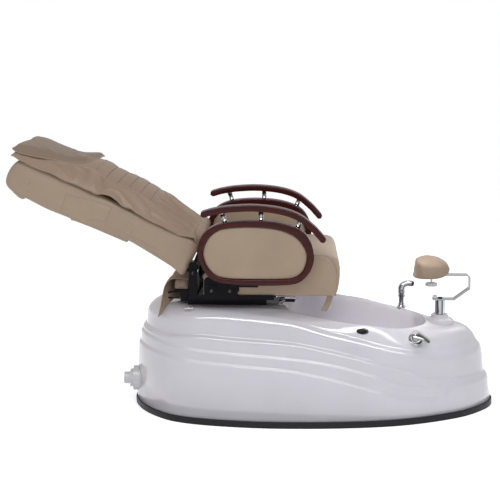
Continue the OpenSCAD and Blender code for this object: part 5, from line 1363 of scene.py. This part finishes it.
def make_spray():
    line = path(spray_line, 8, 100)
    r = np.where(line[:, 0] > spray_head[0][0], np.interp(line[:, 0], *zip(*spray_head)),
                 np.interp(line[:, 1], *zip(*spray_handle)))
    head = tube("spray_body", at_y(line, SPRAY_Y), r, "spray", "chrome", "chrome", sides=28)
    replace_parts(head, "spray_head")
    x, z, r = np.array(spray_face).T
    tube("spray_face", at_y(points(x, z), SPRAY_Y), r, "spray", "dark_chrome", "chrome", sides=28)
    for k, (z, r, mat) in enumerate(spray_bands):
        band = [(r - 3, -2.2), (r, -1.4), (r + 0.4, 0), (r, 1.4), (r - 3, 2.2)]
        turned(f"spray_band_{k}", band, (SPRAY_X, SPRAY_Y, z), UPRIGHT, "spray", mat, "chrome", n=40)
    at = (SPRAY_X, SPRAY_Y, SPRAY_Z)
    flange = turned("spray_flange", spray_flange, at, UPRIGHT, "tub", "chrome", "chrome", n=48)
    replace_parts(flange, "spray_base")


make_spray()

# Heads of the back's pivots and of the arm brackets' bolts
bolt_head = [
    (6, -0.5), (6, 1.0), (5.4, 1.5), (4.4, 1.6), (4.3, 3.4), (3.6, 4.1), (2.4, 4.2), (2.2, 1.6), (0, 1.5)]
PIVOT_Y = 262.3
BOLT_Y = box_mm("arm_bracket_far")[1, 1]
BOLT_Z = 524
BOLT_XS = (-398, -328)
for side, s in SIDES:
    axes = np.array([[1.0, 0, 0], [0, 0, 1], [0, s, 0]])
    turned(f"pivot_head_{side}", bolt_head, (HINGE_X, s * PIVOT_Y, HINGE_Z), axes, "backrest", "dark_chrome",
           "zinc", n=36)
    for k, x in enumerate(BOLT_XS):
        turned(f"bracket_bolt_{side}_{k}", bolt_head, (x, s * BOLT_Y, BOLT_Z), axes, "arm_" + side,
               "dark_chrome", "zinc", n=36)

# Deck plate with two screws
plate_outline = [
    (-506, -246), (-506, -235), (-503, -232), (-477, -232), (-474, -235), (-474, -246), (-477, -249),
    (-503, -249)]
# Its rows: the share of the outline, and the height
plate_rows = [(1, 438), (1, 441.6), (0.97, 442.6), (0.9, 443), (0.01, 443)]
plate_screw = [(3.4, 0), (3.4, 1), (2.4, 1.6), (0, 1.6)]
SCREW_XS = (-498, -482)
SCREW_Y, SCREW_Z = -240.5, 442.8


def make_deck_plate():
    outline = loop(plate_outline, 6, 72)
    middle = outline.mean(0)
    rows = [np.insert(middle + (outline - middle) * k, 2, z, axis=1) for k, z in plate_rows]
    skin("deck_plate", rows, "tub", "white_plastic", SLOT["pad_knob"], wrap_cols=True, flip=True)
    for k, x in enumerate(SCREW_XS):
        at = (x, SCREW_Y, SCREW_Z)
        turned(f"deck_plate_screw_{k}", plate_screw, at, UPRIGHT, "tub", "dark_chrome", "zinc", n=28)


make_deck_plate()

# Stop strip under the seat
STOP_T = 3
STOP_YS = (-112, -86)
stop_section = [(-58, 470), (-55, 467.5), (24, 467.5), (27, 470), (27, 492), (-58, 492)]
stop_rows = [at_y(loop(stop_section, 4, 60), y) for y in STOP_YS]
stop = skin("seat_stop", stop_rows, "carriage", "black_plastic", SLOT["release_grip"], wrap_cols=True)
solid(stop, STOP_T, 0)
